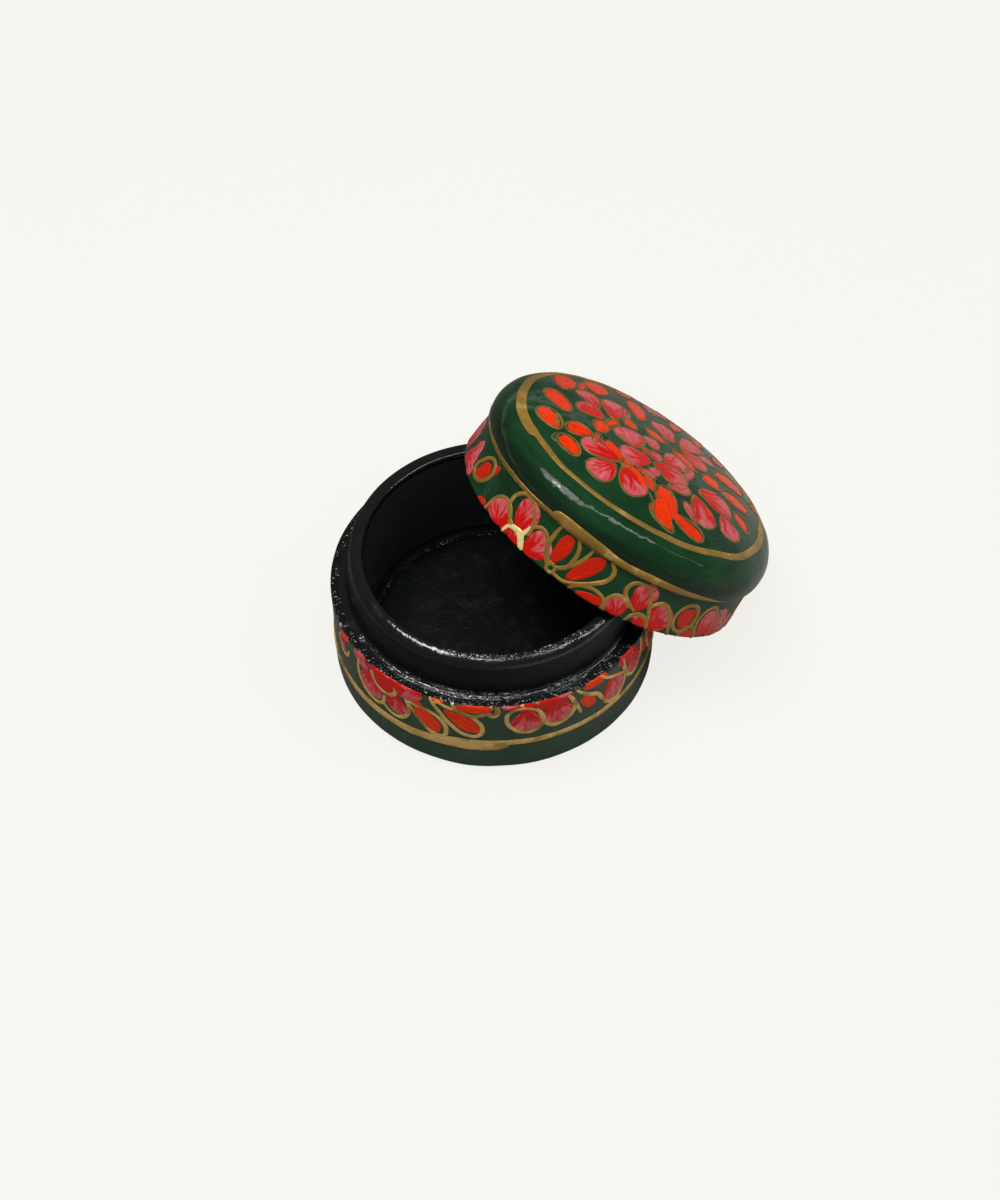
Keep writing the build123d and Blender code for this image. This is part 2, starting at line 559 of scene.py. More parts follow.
def brush_profile():
    """The section of a loaded brush's line, one wide: a low mound with sunk edges."""
    curve = bpy.data.curves.new("brush_profile", "CURVE")
    curve.dimensions = "2D"
    line = curve.splines.new("POLY")
    mound = [(-1, -0.35), (-0.9, 0.25), (-0.5, 0.8), (0, 1), (0.5, 0.8), (0.9, 0.25), (1, -0.35)]
    line.points.add(len(mound) - 1)
    for point, (x, y) in zip(line.points, mound):
        point.co = (x / 2, y / 2, 0, 1)
    line.use_cyclic_u = True
    profile = bpy.data.objects.new("brush_profile", curve)
    bpy.context.collection.objects.link(profile)
    return profile


def drawn_flat(name, strokes, scale):
    """The strokes of a plan as a flat mesh in millimetres, with the section of the brush."""
    profile = brush_profile()
    curve = bpy.data.curves.new(name, "CURVE")
    curve.dimensions = "2D"
    curve.bevel_mode = "OBJECT"
    curve.bevel_object = profile
    curve.use_fill_caps = True
    curve.fill_mode = "NONE"
    for closed, stroke in strokes:
        line = curve.splines.new("BEZIER")
        gaps = [math.hypot((b[0] - a[0]) / scale, b[1] - a[1]) for a, b in zip(stroke, stroke[1:])]
        line.resolution_u = max(5, round(max(gaps) / STROKE_SPAN))
        line.bezier_points.add(len(stroke) - 1)
        for point, (x, y, wide) in zip(line.bezier_points, stroke):
            point.co = (x / scale, y, 0)
            point.handle_left_type = point.handle_right_type = "AUTO"
            point.radius = wide
        line.use_cyclic_u = closed
    chosen(bpy.data.objects.new(name, curve))
    bpy.ops.object.convert(target="MESH")
    bpy.data.objects.remove(profile)
    return bpy.context.object


def lines(name, surface, strokes, gold):
    """A piece of gold lines, drawn flat and laid on the surface. Each stroke is closed or not, and
    its points x, y and width in millimetres."""
    piece = drawn_flat(name, strokes, surface.scale)
    size = paint_sizes()
    plan = [v.co.copy() for v in piece.data.vertices]
    for v, p in zip(piece.data.vertices, plan):
        share = 1 - math.exp(-p.z / GOLD_BUILD)
        height = size.gold_relief * share if p.z > 0 else -size.sunk
        v.co = surface.spot(p.x * surface.scale, p.y, height)
    piece.data.update()
    mapped(piece.data, [(p.x / 10, p.y / 10) for p in plan])
    with editing():
        bpy.ops.mesh.normals_make_consistent(inside=False)
    bpy.ops.object.shade_smooth_by_angle(angle=SMOOTH_PAINT)
    coat(piece, gold)
    return piece


def loops_round(motifs, gap, taper, seed):
    """A line round each motif of the crown, a little off it, as a quick hand draws it."""
    chance = random.Random(seed)
    made = []
    for x, y, long, broad, direction, _ in motifs:
        x += chance.uniform(-OUTLINE_SLIP, OUTLINE_SLIP)
        y += chance.uniform(-OUTLINE_SLIP, OUTLINE_SLIP)
        grow = 2 * gap * chance.uniform(0.6, 1.3)
        stroke = []
        for i in range(OUTLINE_POINTS):
            wave = 1 + chance.uniform(-0.035, 0.035)
            u, v = on_arc((0, 0), wave, 360 * i / OUTLINE_POINTS)
            px, py = petal_point(u, v, long + grow, broad + grow, taper, direction)
            stroke.append((x + px, y + py, OUTLINE_WIDTH * chance.uniform(0.6, 1.2)))
        made.append((True, stroke))
    return made


# ---------------------------------------------------------------- materials

FLOAT, VECTOR = "NodeSocketFloat", "NodeSocketVector"
LACQUER_IOR = 1.28


def feed(tree, node, inputs):
    """Sets a node's inputs. Each is given as a value, or as the socket that feeds it."""
    for key, value in inputs.items():
        if isinstance(value, bpy.types.NodeSocket):
            tree.links.new(value, node.inputs[key])
        else:
            node.inputs[key].default_value = value


def put(tree, kind, inputs, **settings):
    """Adds a node with its settings and its inputs."""
    made = tree.nodes.new(kind)
    for key, value in settings.items():
        setattr(made, key, value)
    feed(tree, made, inputs)
    return made


def sums(tree, operation, a, b=0.0, clamp=False):
    """One step of arithmetic on two numbers or sockets."""
    made = put(tree, "ShaderNodeMath", {0: a, 1: b}, operation=operation, use_clamp=clamp)
    return made.outputs[0]


def product(tree, first, *others):
    """Numbers or sockets multiplied, from left to right."""
    for other in others:
        first = sums(tree, "MULTIPLY", first, other)
    return first


def total(tree, first, *others):
    """Numbers or sockets added, from left to right."""
    for other in others:
        first = sums(tree, "ADD", first, other)
    return first


def less(tree, a, b):
    """A number less another."""
    return sums(tree, "SUBTRACT", a, b)


def blend(tree, factor, a, b):
    """A colour between two colours."""
    made = put(tree, "ShaderNodeMix", {0: factor, 6: a, 7: b}, data_type="RGBA")
    return made.outputs[2]


def ramp(tree, value, low, high, to_low=0.0, to_high=1.0):
    """A number carried smoothly from one range to another."""
    made = put(
        tree, "ShaderNodeMapRange", {0: value, 1: low, 2: high, 3: to_low, 4: to_high},
        interpolation_type="SMOOTHSTEP",
    )
    return made.outputs[0]


def clouds(tree, vector, scale, detail=2.0, roughness=0.5, lean=0.0):
    """Noise that follows a vector, as a number about a half."""
    made = put(
        tree, "ShaderNodeTexNoise",
        {"Vector": vector, "Scale": scale, "Detail": detail, "Roughness": roughness,
         "Distortion": lean},
    )
    return made.outputs[0]


def vectors(tree, operation, a, b=(0, 0, 0)):
    """A vector worked out from two vectors, or its length or their dot product."""
    made = put(tree, "ShaderNodeVectorMath", {0: a, 1: b}, operation=operation)
    return made.outputs[1 if operation in ("LENGTH", "DOT_PRODUCT") else 0]


def joined(tree, x, y=0.0, z=0.0):
    """A vector of three numbers or sockets."""
    return put(tree, "ShaderNodeCombineXYZ", {0: x, 1: y, 2: z}).outputs[0]


def parted(tree, vector):
    """The three numbers of a vector."""
    return put(tree, "ShaderNodeSeparateXYZ", {0: vector}).outputs


def group(name, inputs, *outputs):
    """A new node group of numbers that follow a vector, with the names of what it puts out."""
    tree = bpy.data.node_groups.new(name, "ShaderNodeTree")
    for socket, default in inputs.items():
        kind = VECTOR if default is None else FLOAT
        made = tree.interface.new_socket(socket, in_out="INPUT", socket_type=kind)
        if default is not None:
            made.default_value = default
    for socket in outputs:
        tree.interface.new_socket(socket, in_out="OUTPUT", socket_type=FLOAT)
    return tree, tree.nodes.new("NodeGroupInput").outputs


def put_out(tree, **results):
    """Feeds the outputs of a node group."""
    put(tree, "NodeGroupOutput", results)


def grouped(tree, name, **inputs):
    """Places a node group in a material, with that material's own values."""
    node_tree = bpy.data.node_groups[name]
    return put(tree, "ShaderNodeGroup", inputs, node_tree=node_tree).outputs


def lacquer_skin_group():
    """Height of a brushed coat of lacquer: slow waves, a fine peel and a few caught specks."""
    tree, ends = group(
        "lacquer_skin",
        {"Vector": None, "Waves": 1.0, "Dimples": 0.3, "Peel": 0.15, "Specks": 0.2},
        "Height", "Dull",
    )
    vector = ends["Vector"]
    waves = product(tree, clouds(tree, vector, 190, 2.0, 0.5, 0.3), ends["Waves"])
    dimples = product(tree, clouds(tree, vector, 480, 1.0, 0.4), ends["Dimples"])
    peel = product(tree, clouds(tree, vector, 1300), ends["Peel"])
    cells = put(tree, "ShaderNodeTexVoronoi", {"Vector": vector, "Scale": 420.0})
    caught = ramp(tree, clouds(tree, vector, 330, 1.0), 0.56, 0.66)
    speck = product(
        tree, ramp(tree, cells.outputs["Distance"], 0.16, 0.05), caught, ends["Specks"],
    )
    put_out(
        tree, Height=total(tree, waves, dimples, peel, speck),
        Dull=ramp(tree, clouds(tree, vector, 260, 4.0, 0.6), 0.4, 0.75),
    )


def brushed_ground_group():
    """Where a ground colour is thick or thin: broad clouds and marks of the brush round it."""
    tree, ends = group(
        "brushed_ground", {"Vector": None, "Clouds": 0.6, "Brush": 0.5}, "Thick",
    )
    vector = ends["Vector"]
    x, y, z = parted(tree, vector)
    radius = sums(tree, "SQRT", total(tree, product(tree, x, x), product(tree, y, y)))
    turn = product(tree, sums(tree, "ARCTAN2", y, x), 0.0035)
    broad = less(tree, clouds(tree, vector, 95, 3.0, 0.55), 0.5)
    marks = less(tree, clouds(tree, joined(tree, turn, radius, z), 900, 2.0, 0.6), 0.5)
    uneven = total(
        tree, product(tree, broad, ends["Clouds"]), product(tree, marks, ends["Brush"]),
    )
    put_out(tree, Thick=sums(tree, "ADD", uneven, 0.5, clamp=True))


def petal_strokes_group():
    """Strokes drawn from the heart of a petal to its edge. The dab's UV map runs along it."""
    tree, ends = group(
        "petal_strokes", {"UV": None, "Tone": 0.5, "Mark": 0.5},
        "Pink", "Line", "Pale", "Height",
    )
    u, v, _ = parted(tree, ends["UV"])
    fan = sums(tree, "ARCTAN2", less(tree, v, 0.5), total(tree, u, 0.12))
    drawn = joined(tree, fan, product(tree, u, 0.35), product(tree, ends["Mark"], 37.0))
    hairs = clouds(tree, drawn, 4.6, 2.0, 0.6)
    fine = clouds(tree, drawn, 7.5, 1.0)
    reach = total(tree, u, product(tree, less(tree, hairs, 0.5), 2.2))
    start = less(tree, 1.0, product(tree, ends["Tone"], 0.95))
    pink = ramp(tree, less(tree, reach, start), -0.14, 0.16)
    outer = product(tree, pink, ramp(tree, u, 0.30, 0.60))
    put_out(
        tree, Pink=pink,
        Line=product(tree, ramp(tree, fine, 0.54, 0.62), ramp(tree, u, 1.0, 0.70)),
        Pale=product(tree, ramp(tree, fine, 0.46, 0.34), outer),
        Height=total(tree, hairs, product(tree, fine, 0.5)),
    )


def grit_group():
    """Grit left in an unsanded coat: crowded small lumps, with larger ones here and there."""
    tree, ends = group("grit", {"Vector": None, "Size": 1.0}, "Height", "Top")
    vector = ends["Vector"]
    small = put(
        tree, "ShaderNodeTexVoronoi",
        {"Vector": vector, "Scale": product(tree, ends["Size"], 1500.0)}, feature="SMOOTH_F1",
    )
    broad = clouds(tree, vector, 420, 3.0, 0.6)
    lumps = ramp(tree, small.outputs["Distance"], 0.75, 0.1)
    height = product(tree, lumps, ramp(tree, broad, 0.35, 0.68))
    put_out(tree, Height=total(tree, height, broad), Top=ramp(tree, height, 0.35, 0.8))


def wrinkles_group():
    """Lacquer that drew up into small cells as it dried, in broken runs.

    Filled turns the cells from a net of ridges, at nought, to separate grains, at one."""
    tree, ends = group(
        "wrinkles", {"Vector": None, "Size": 1.0, "Run": 0.5, "Filled": 0.0},
        "Height", "Crest",
    )
    vector = ends["Vector"]
    bend = joined(tree, product(tree, clouds(tree, vector, 900), 0.5 * MM))
    cells = put(
        tree, "ShaderNodeTexVoronoi",
        {"Vector": vectors(tree, "ADD", vector, bend),
         "Scale": product(tree, ends["Size"], 1400.0)},
        feature="DISTANCE_TO_EDGE",
    ).outputs[0]
    low = less(tree, 1.0, ends["Run"])
    run = ramp(tree, less(tree, clouds(tree, vector, 230, 3.0, 0.6), low), -0.08, 0.04)
    broken = ramp(tree, clouds(tree, vector, 1500), 0.44, 0.58)
    # The crest mask is where pale grey is painted on as glints.
    ridge, crest = (
        put(tree, "ShaderNodeMix", {0: ends["Filled"], 2: edges, 3: middles}).outputs[0]
        for edges, middles in (
            (ramp(tree, cells, 0.22, 0.03), ramp(tree, cells, 0.03, 0.22)),
            (ramp(tree, cells, 0.10, 0.03), ramp(tree, cells, 0.08, 0.20)),
        )
    )
    put_out(tree, Height=product(tree, ridge, run), Crest=product(tree, crest, broken, run))


def material(name, lean=None):
    """A new material with its Principled shader and the shell's coordinates as it was turned.

    They are the object's own, taken back by lean, the way in which the lid was put down."""
    made = bpy.data.materials.new(name)
    made.use_nodes = True
    tree = made.node_tree
    tree.nodes.clear()
    shader = tree.nodes.new("ShaderNodeBsdfPrincipled")
    out = tree.nodes.new("ShaderNodeOutputMaterial")
    tree.links.new(shader.outputs[0], out.inputs[0])
    place = tree.nodes.new("ShaderNodeTexCoord").outputs["Object"]
    if lean is not None:
        back = lean.inverted()
        place = put(
            tree, "ShaderNodeMapping",
            {"Vector": place, "Location": back.to_translation(), "Rotation": back.to_euler()},
        ).outputs[0]
    return tree, shader, place


def coated(tree, shader, base, rough, height, depth, gloss=LACQUER_IOR):
    """Gives the shader a coat's colour, roughness and height, and its gloss as an IOR."""
    bump = put(tree, "ShaderNodeBump", {"Height": height, "Distance": depth})
    feed(tree, shader, {
        "Base Color": base, "Roughness": rough, "IOR": gloss, "Normal": bump.outputs[0],
    })


def green_lacquer(name, lean=None, rubbed=0.0, gloss=LACQUER_IOR):
    """Green ground under clear lacquer, brushed round the box. On the lid it is painted darker at
    the foot of the shoulder, as painted shade.
    """
    tree, shader, place = material(name, lean)
    skin = grouped(tree, "lacquer_skin", Vector=place, Dimples=0.5)
    thick = grouped(tree, "brushed_ground", Vector=place, Clouds=1.2, Brush=0.9)["Thick"]
    # Painted shade on the lid: the green is darkened just above the band and fades out up the
    # shoulder.
    if lean is not None:
        foot, high = lid_sizes().band_height, parted(tree, place)[2]
        deep = ramp(tree, high, foot + 1.2 * MM, foot + 5.5 * MM, 0.75, 0.0)
        above = ramp(tree, high, foot - 0.2 * MM, foot + 0.4 * MM)
        thick = sums(tree, "ADD", thick, product(tree, deep, above), clamp=True)
    base = blend(tree, thick, paint("green"), paint("deep_and_shaded_green"))
    # On the cup, greyish patches that are part wear and part painted sheen for the floor's
    # reflection.
    dull = ramp(tree, clouds(tree, place, 120, 3.0, 0.6), 0.2, 0.75, rubbed * 0.4, rubbed)
    base = blend(tree, dull, base, paint("sheen_and_wear_green"))
    rough = ramp(tree, skin["Dull"], 0.0, 1.0, 0.05, 0.13)
    coated(tree, shader, base, rough, skin["Height"], 0.14 * MM, gloss)


def wrinkled_black(name, size, run, middle, wide, pale, turn=0.0, reach=180.0, filled=0.0,
                   gloss=1.65):
    """Thick black lacquer, shiny, that drew into wrinkles along a line round the box. Pale grey is
    painted on the wrinkles' crests there as painted glints.

    middle is the line's radius and wide the width of the wrinkles, both in metres. They run from
    turn for reach to either side, in degrees. Filled wrinkles are grains, not a net."""
    tree, shader, place = material(name)
    skin = grouped(tree, "lacquer_skin", Vector=place, Dimples=0.5, Peel=0.2)
    wrinkles = grouped(tree, "wrinkles", Vector=place, Size=size, Run=run, Filled=filled)
    flat = vectors(tree, "MULTIPLY", place, (1, 1, 0))
    radius = vectors(tree, "LENGTH", flat)
    bend = product(tree, less(tree, clouds(tree, place, 160), 0.5), 1.6 * MM)
    off = sums(tree, "ABSOLUTE", less(tree, total(tree, radius, bend), middle))
    toward = vectors(tree, "DOT_PRODUCT", flat, (*on_arc((0, 0), 1.0, turn), 0))
    edge = math.cos(math.radians(reach))
    near = product(
        tree, ramp(tree, off, wide / 2, wide / 4),
        ramp(tree, sums(tree, "DIVIDE", toward, radius), edge - 0.03, edge),
    )
    # Painted glints: pale grey on the crests, only near the line.
    crest = product(tree, wrinkles["Crest"], near, pale)
    base = blend(tree, crest, paint("black"), paint("painted_glint_grey"))
    rough = ramp(tree, skin["Dull"], 0.0, 1.0, 0.12, 0.24)
    height = total(tree, skin["Height"], product(tree, wrinkles["Height"], near, 1.3))
    coated(tree, shader, base, rough, height, 0.22 * MM, gloss)


def black_lacquer(name, lean=None, waves=1.0, worn=0.4, ground="black", shine=0.13,
                  gloss=LACQUER_IOR, peel=0.3):
    """Black lacquer over pulp, rubbed thin in places."""
    tree, shader, place = material(name, lean)
    skin = grouped(
        tree, "lacquer_skin", Vector=place, Waves=waves, Peel=peel, Specks=2 * peel,
    )
    thin = ramp(tree, clouds(tree, place, 330, 5.0, 0.65), 0.56, 0.78, 0.0, worn)
    base = blend(tree, thin, paint(ground), paint("worn_black"))
    rough = ramp(tree, skin["Dull"], 0.0, 1.0, shine, shine + 0.19)
    coated(tree, shader, base, rough, skin["Height"], 0.2 * MM, gloss)


def gritty_black(name):
    """Unsanded black on the ledge, where the coat dried rough. The tops of its grit are a lighter
    black, and pale grey is painted on the crests of its wrinkles as painted glints.
    """
    tree, shader, place = material(name)
    grit = grouped(tree, "grit", Vector=place, Size=1.2)
    wrinkles = grouped(tree, "wrinkles", Vector=place, Size=1.3, Run=0.36, Filled=0.5)
    base = blend(tree, grit["Top"], paint("black"), paint("worn_black"))
    base = blend(tree, product(tree, wrinkles["Crest"], 0.22), base, paint("painted_glint_grey"))
    height = total(tree, grit["Height"], wrinkles["Height"])
    coated(tree, shader, base, 0.12, height, 0.26 * MM, 1.42)


def card_black(name):
    """Black card brushed with thin lacquer, with a faint tooth."""
    tree, shader, place = material(name)
    skin = grouped(tree, "lacquer_skin", Vector=place, Waves=0.8, Peel=0.5, Specks=1.2)
    thin = ramp(tree, clouds(tree, place, 240, 5.0, 0.7), 0.5, 0.8, 0.0, 0.35)
    base = blend(tree, thin, paint("black"), paint("worn_black"))
    rough = ramp(tree, skin["Dull"], 0.0, 1.0, 0.3, 0.5)
    coated(tree, shader, base, rough, skin["Height"], 0.2 * MM)


def gold_paint(name, lean=None, pale=0.4, thin=0.5, worn=0.0, light="pale_gold"):
    """Bronze powder in lacquer: brushed, brighter where it is thick, thin at its edges."""
    tree, shader, place = material(name, lean)
    skin = grouped(tree, "lacquer_skin", Vector=place)
    load = clouds(tree, place, 210, 3.0, 0.6)
    grain = clouds(tree, place, 1700, 3.0, 0.7)
    lost = ramp(tree, load, 0.62 + worn, 0.36 + worn, 0.0, thin)
    base = blend(tree, lost, paint("gold"), paint("thin_gold"))
    bright = ramp(tree, load, 0.76 - 0.5 * pale, 0.98 - 0.5 * pale)
    base = blend(tree, bright, base, paint(light))
    base = blend(tree, ramp(tree, grain, 0.45, 0.7, 0.0, 0.35), base, paint("thin_gold"))
    rough = ramp(tree, grain, 0.3, 0.7, 0.26, 0.42)
    height = total(tree, skin["Height"], product(tree, grain, 0.12))
    coated(tree, shader, base, rough, height, 0.14 * MM, 1.32)
    shader.inputs["Metallic"].default_value = 0.25


def dab_inputs(tree):
    """What a dab carries: its UV map, its tone and its mark."""
    uv = put(tree, "ShaderNodeUVMap", {}, uv_map="dab").outputs[0]
    tone, mark = (
        put(tree, "ShaderNodeAttribute", {}, attribute_name=name).outputs["Fac"]
        for name in ("tone", "mark")
    )
    return uv, tone, mark


def petal_paint(name, lean=None, pale=0.24):
    """Petals: red at the heart, with pink and pale strokes drawn out to the edge."""
    tree, shader, place = material(name, lean)
    uv, tone, mark = dab_inputs(tree)
    strokes = grouped(tree, "petal_strokes", UV=uv, Tone=tone, Mark=mark)
    skin = grouped(tree, "lacquer_skin", Vector=place)
    base = blend(tree, strokes["Pink"], paint("red"), paint("pink"))
    base = blend(tree, product(tree, strokes["Pale"], pale), base, paint("pale_pink"))
    base = blend(tree, product(tree, strokes["Line"], 0.75), base, paint("red"))
    rough = ramp(tree, skin["Dull"], 0.0, 1.0, 0.10, 0.2)
    height = total(tree, skin["Height"], product(tree, strokes["Height"], 0.12))
    coated(tree, shader, base, rough, height, 0.14 * MM)


def dab_paint(name, lean=None, full=0.5):
    """Single dabs of orange, thinner and redder where the brush was lifted."""
    tree, shader, place = material(name, lean)
    uv, tone, mark = dab_inputs(tree)
    u, v, _ = parted(tree, uv)
    drawn = joined(tree, product(tree, u, 0.25), v, product(tree, mark, 41.0))
    brush = clouds(tree, drawn, 9.0, 3.0, 0.6)
    skin = grouped(tree, "lacquer_skin", Vector=place)
    lifted = ramp(tree, brush, full, full + 0.18)
    base = blend(tree, lifted, paint("orange"), paint("deep_orange"))
    base = blend(tree, tone, base, paint("red"))
    rough = ramp(tree, skin["Dull"], 0.0, 1.0, 0.12, 0.24)
    height = total(tree, skin["Height"], product(tree, brush, 0.15))
    coated(tree, shader, base, rough, height, 0.14 * MM)


# ---------------------------------------------------------------- the painted plans

# Crown, seen from straight above with the low side of the lid to the right. Each petal or dab is
# x, y, length, width in mm, the direction of its tip in degrees, and its tone.
CROWN_PETALS = [
    (-16.9, -2.3, 7.4, 4.9, 124, 0.42), (-19.3, -6.8, 5.6, 5.4, 190, 0.60),
    (-14.9, -10.2, 6.8, 5.4, -96, 0.42),
    (-7.4, 1.0, 5.8, 6.4, 75, 0.75), (-10.1, -4.4, 6.4, 5.4, 165, 0.42),
    (-2.4, -0.1, 4.2, 3.4, 70, 0.80), (-5.0, -3.7, 3.6, 2.6, -35, 0.45),
    (-6.4, -2.6, 1.9, 1.5, 60, 0.0), (-0.3, -5.2, 6.0, 4.9, 10, 0.60),
    (-4.1, -8.5, 7.2, 5.6, -45, 0.48), (-7.9, -8.3, 2.6, 2.1, 190, 0.90),
    (-10.3, -8.6, 3.6, 1.7, -40, 0.80), (-4.3, -12.2, 5.0, 2.4, -8, 0.85),
    (1.3, -8.3, 5.2, 1.7, 35, 0.90),
    (-11.0, 9.0, 5.6, 4.5, 112, 0.28), (-7.8, 13.4, 7.0, 4.1, 75, 0.62),
    (-4.7, 9.8, 7.8, 5.2, 50, 0.52), (-2.0, 8.8, 4.6, 1.3, 55, 0.95),
    (-1.3, -17.1, 6.8, 5.2, -96, 0.35), (-4.8, -17.4, 4.4, 1.7, 95, 0.70),
    (4.7, -14.2, 7.8, 5.4, -30, 0.38), (4.4, -19.7, 5.0, 5.0, -85, 0.72),
    (5.5, 4.6, 7.0, 4.8, 72, 0.62), (10.2, 1.6, 8.4, 4.4, 22, 0.85),
    (7.6, -2.8, 5.8, 5.0, -50, 0.40), (12.4, -1.8, 4.6, 2.8, -5, 0.85),
    (11.6, 13.2, 6.2, 4.8, 140, 0.55), (17.2, 13.8, 6.6, 4.8, 60, 0.65),
    (18.4, 9.0, 6.0, 4.8, -20, 0.55),
]
CROWN_DABS = [
    (-21.2, 8.3, 7.0, 3.2, 80, 0.0), (-15.5, 13.2, 8.6, 3.3, 78, 0.1),
    (-17.9, 3.7, 4.4, 3.7, 130, 0.1), (-22.3, 0.1, 5.5, 2.7, 88, 0.0),
    (-12.4, 4.0, 3.8, 3.0, 45, 0.0), (-9.0, 5.2, 4.2, 1.6, 22, 0.1),
    (-3.8, 5.2, 3.0, 2.4, 100, 0.0), (1.0, 2.6, 4.6, 2.3, 115, 0.0),
    (-16.0, 0.9, 2.6, 1.2, 40, 0.1), (-7.4, 20.8, 9.4, 4.2, 48, 0.1),
    (-5.4, 18.4, 5.8, 1.2, 40, 0.2), (-0.6, 19.0, 9.0, 4.6, 48, 0.0),
    (3.6, 11.6, 9.6, 3.8, 56, 0.1), (-9.5, -15.2, 6.9, 4.2, 77, 0.0),
    (-12.3, -18.2, 5.8, 2.5, 107, 0.1), (-7.0, -20.7, 6.2, 2.9, -42, 0.2),
    (-13.6, -6.0, 1.8, 1.2, 10, 0.2), (-11.0, -10.8, 4.0, 1.6, 80, 0.1),
    (7.9, -8.6, 4.2, 3.5, -20, 0.0), (16.0, -6.6, 8.4, 4.6, -12, 0.0),
    (12.9, -12.2, 6.8, 3.4, -25, 0.0), (10.5, -17.4, 3.9, 2.9, -60, 0.1),
    (3.9, -4.0, 6.0, 2.2, 108, 0.1), (12.6, 8.4, 6.2, 2.5, 35, 0.0),
    (19.8, 0.6, 6.6, 3.1, 20, 0.0), (16.0, 4.4, 5.0, 2.3, 25, 0.0),
    (8.2, 19.6, 6.8, 3.6, 40, 0.0), (21.6, -11.0, 3.0, 2.2, -40, 0.0),
]
# Orange laid over the edges of petals.
CROWN_TOUCHES = [
    (-14.1, -2.5, 4.9, 1.7, 98, 0.0), (-12.8, -9.3, 5.4, 1.5, -84, 0.0),
    (0.4, -17.1, 2.2, 1.0, -72, 0.0), (4.2, -11.9, 4.4, 0.9, -8, 0.1),
    (-11.3, -16.9, 4.8, 2.3, 100, 0.0), (-8.7, -18.8, 3.4, 2.0, -50, 0.05),
]
# Lines drawn free of the dabs, as in the band's plan below.
CROWN_LINES = [
    (False, [(-22.8, 5.0, 0.4), (-20.9, 6.3, 0.55), (-19.4, 8.9, 0.4)]),
    (False, [(-12.6, -13.0, 0.4), (-12.9, -15.6, 0.5), (-13.9, -18.2, 0.5), (-12.2, -20.4, 0.4)]),
    (False, [(-24.0, 1.4, 0.4), (-24.2, 2.8, 0.45), (-23.0, 3.6, 0.4)]),
]
# Ring round the crown: degrees, radius and width in mm.
CROWN_RING = [
    (176, 26.5, 1.1), (171, 26.6, 1.0), (168.5, 26.8, 1.7), (158, 27.0, 1.6), (147, 26.8, 1.7),
    (133, 26.4, 1.6), (115, 26.2, 1.5), (90, 26.0, 1.3), (60, 25.9, 1.4), (30, 25.8, 1.4),
    (0, 25.7, 1.3), (-30, 25.4, 1.3), (-41, 25.1, 1.5), (-54, 25.3, 1.5), (-69, 25.4, 1.35),
    (-81, 25.7, 1.25), (-94, 25.4, 1.2), (-108, 25.6, 1.15), (-120, 25.6, 1.15),
    (-136, 25.8, 1.0), (-150, 26.2, 0.85), (-163, 26.4, 0.8), (-173, 26.6, 0.9),
]

# Band of the lid: degrees round it and mm above its rim, then as above.
BAND_PETALS = [
    (-230.0, 2.4, 6.0, 4.6, 150, 0.7), (-222.0, 4.0, 6.4, 4.6, 98, 0.7),
    (-209.0, 5.0, 3.4, 2.8, 25, 0.8), (-210.5, 2.3, 6.4, 4.2, 25, 0.4),
    (-204.8, 1.2, 3.2, 2.4, 0, 0.7),
    (-178.0, 2.1, 5.0, 5.8, 125, 0.50), (-168.4, 5.2, 6.4, 5.2, 92, 0.50),
    (-158.8, 2.6, 5.8, 5.6, 60, 0.55), (-167.0, 0.6, 2.2, 3.4, 90, 0.02),
    (-172.0, 1.1, 3.4, 2.6, 70, 0.0), (-124.0, 1.9, 4.4, 4.8, 110, 0.45),
    (-117.0, 5.4, 6.2, 5.0, 88, 0.42), (-107.0, 2.6, 5.9, 6.0, 62, 0.45),
    (-113.3, 0.8, 2.4, 3.4, 90, 0.15), (-83.5, 3.5, 6.6, 4.9, 85, 0.60),
    (-76.5, 3.2, 7.0, 5.0, 60, 0.65), (-72.0, 1.2, 4.6, 3.6, 20, 0.7),
]
BAND_DABS = [
    (-196.5, 3.9, 4.8, 3.1, 55, 0.0), (-190.7, 6.2, 2.6, 1.5, 70, 0.5),
    (-187.5, 0.5, 3.0, 1.5, 10, 0.0), (-150.8, 5.3, 6.3, 2.9, 88, 0.15),
    (-140.3, 4.8, 8.0, 3.3, 62, 0.1), (-133.5, 0.7, 5.6, 2.0, 8, 0.05),
    (-128.3, 1.2, 2.0, 2.4, 80, 0.1), (-96.0, 4.2, 4.6, 3.7, 90, 0.25),
    (-91.0, 0.8, 2.6, 3.8, 90, 0.3),
]
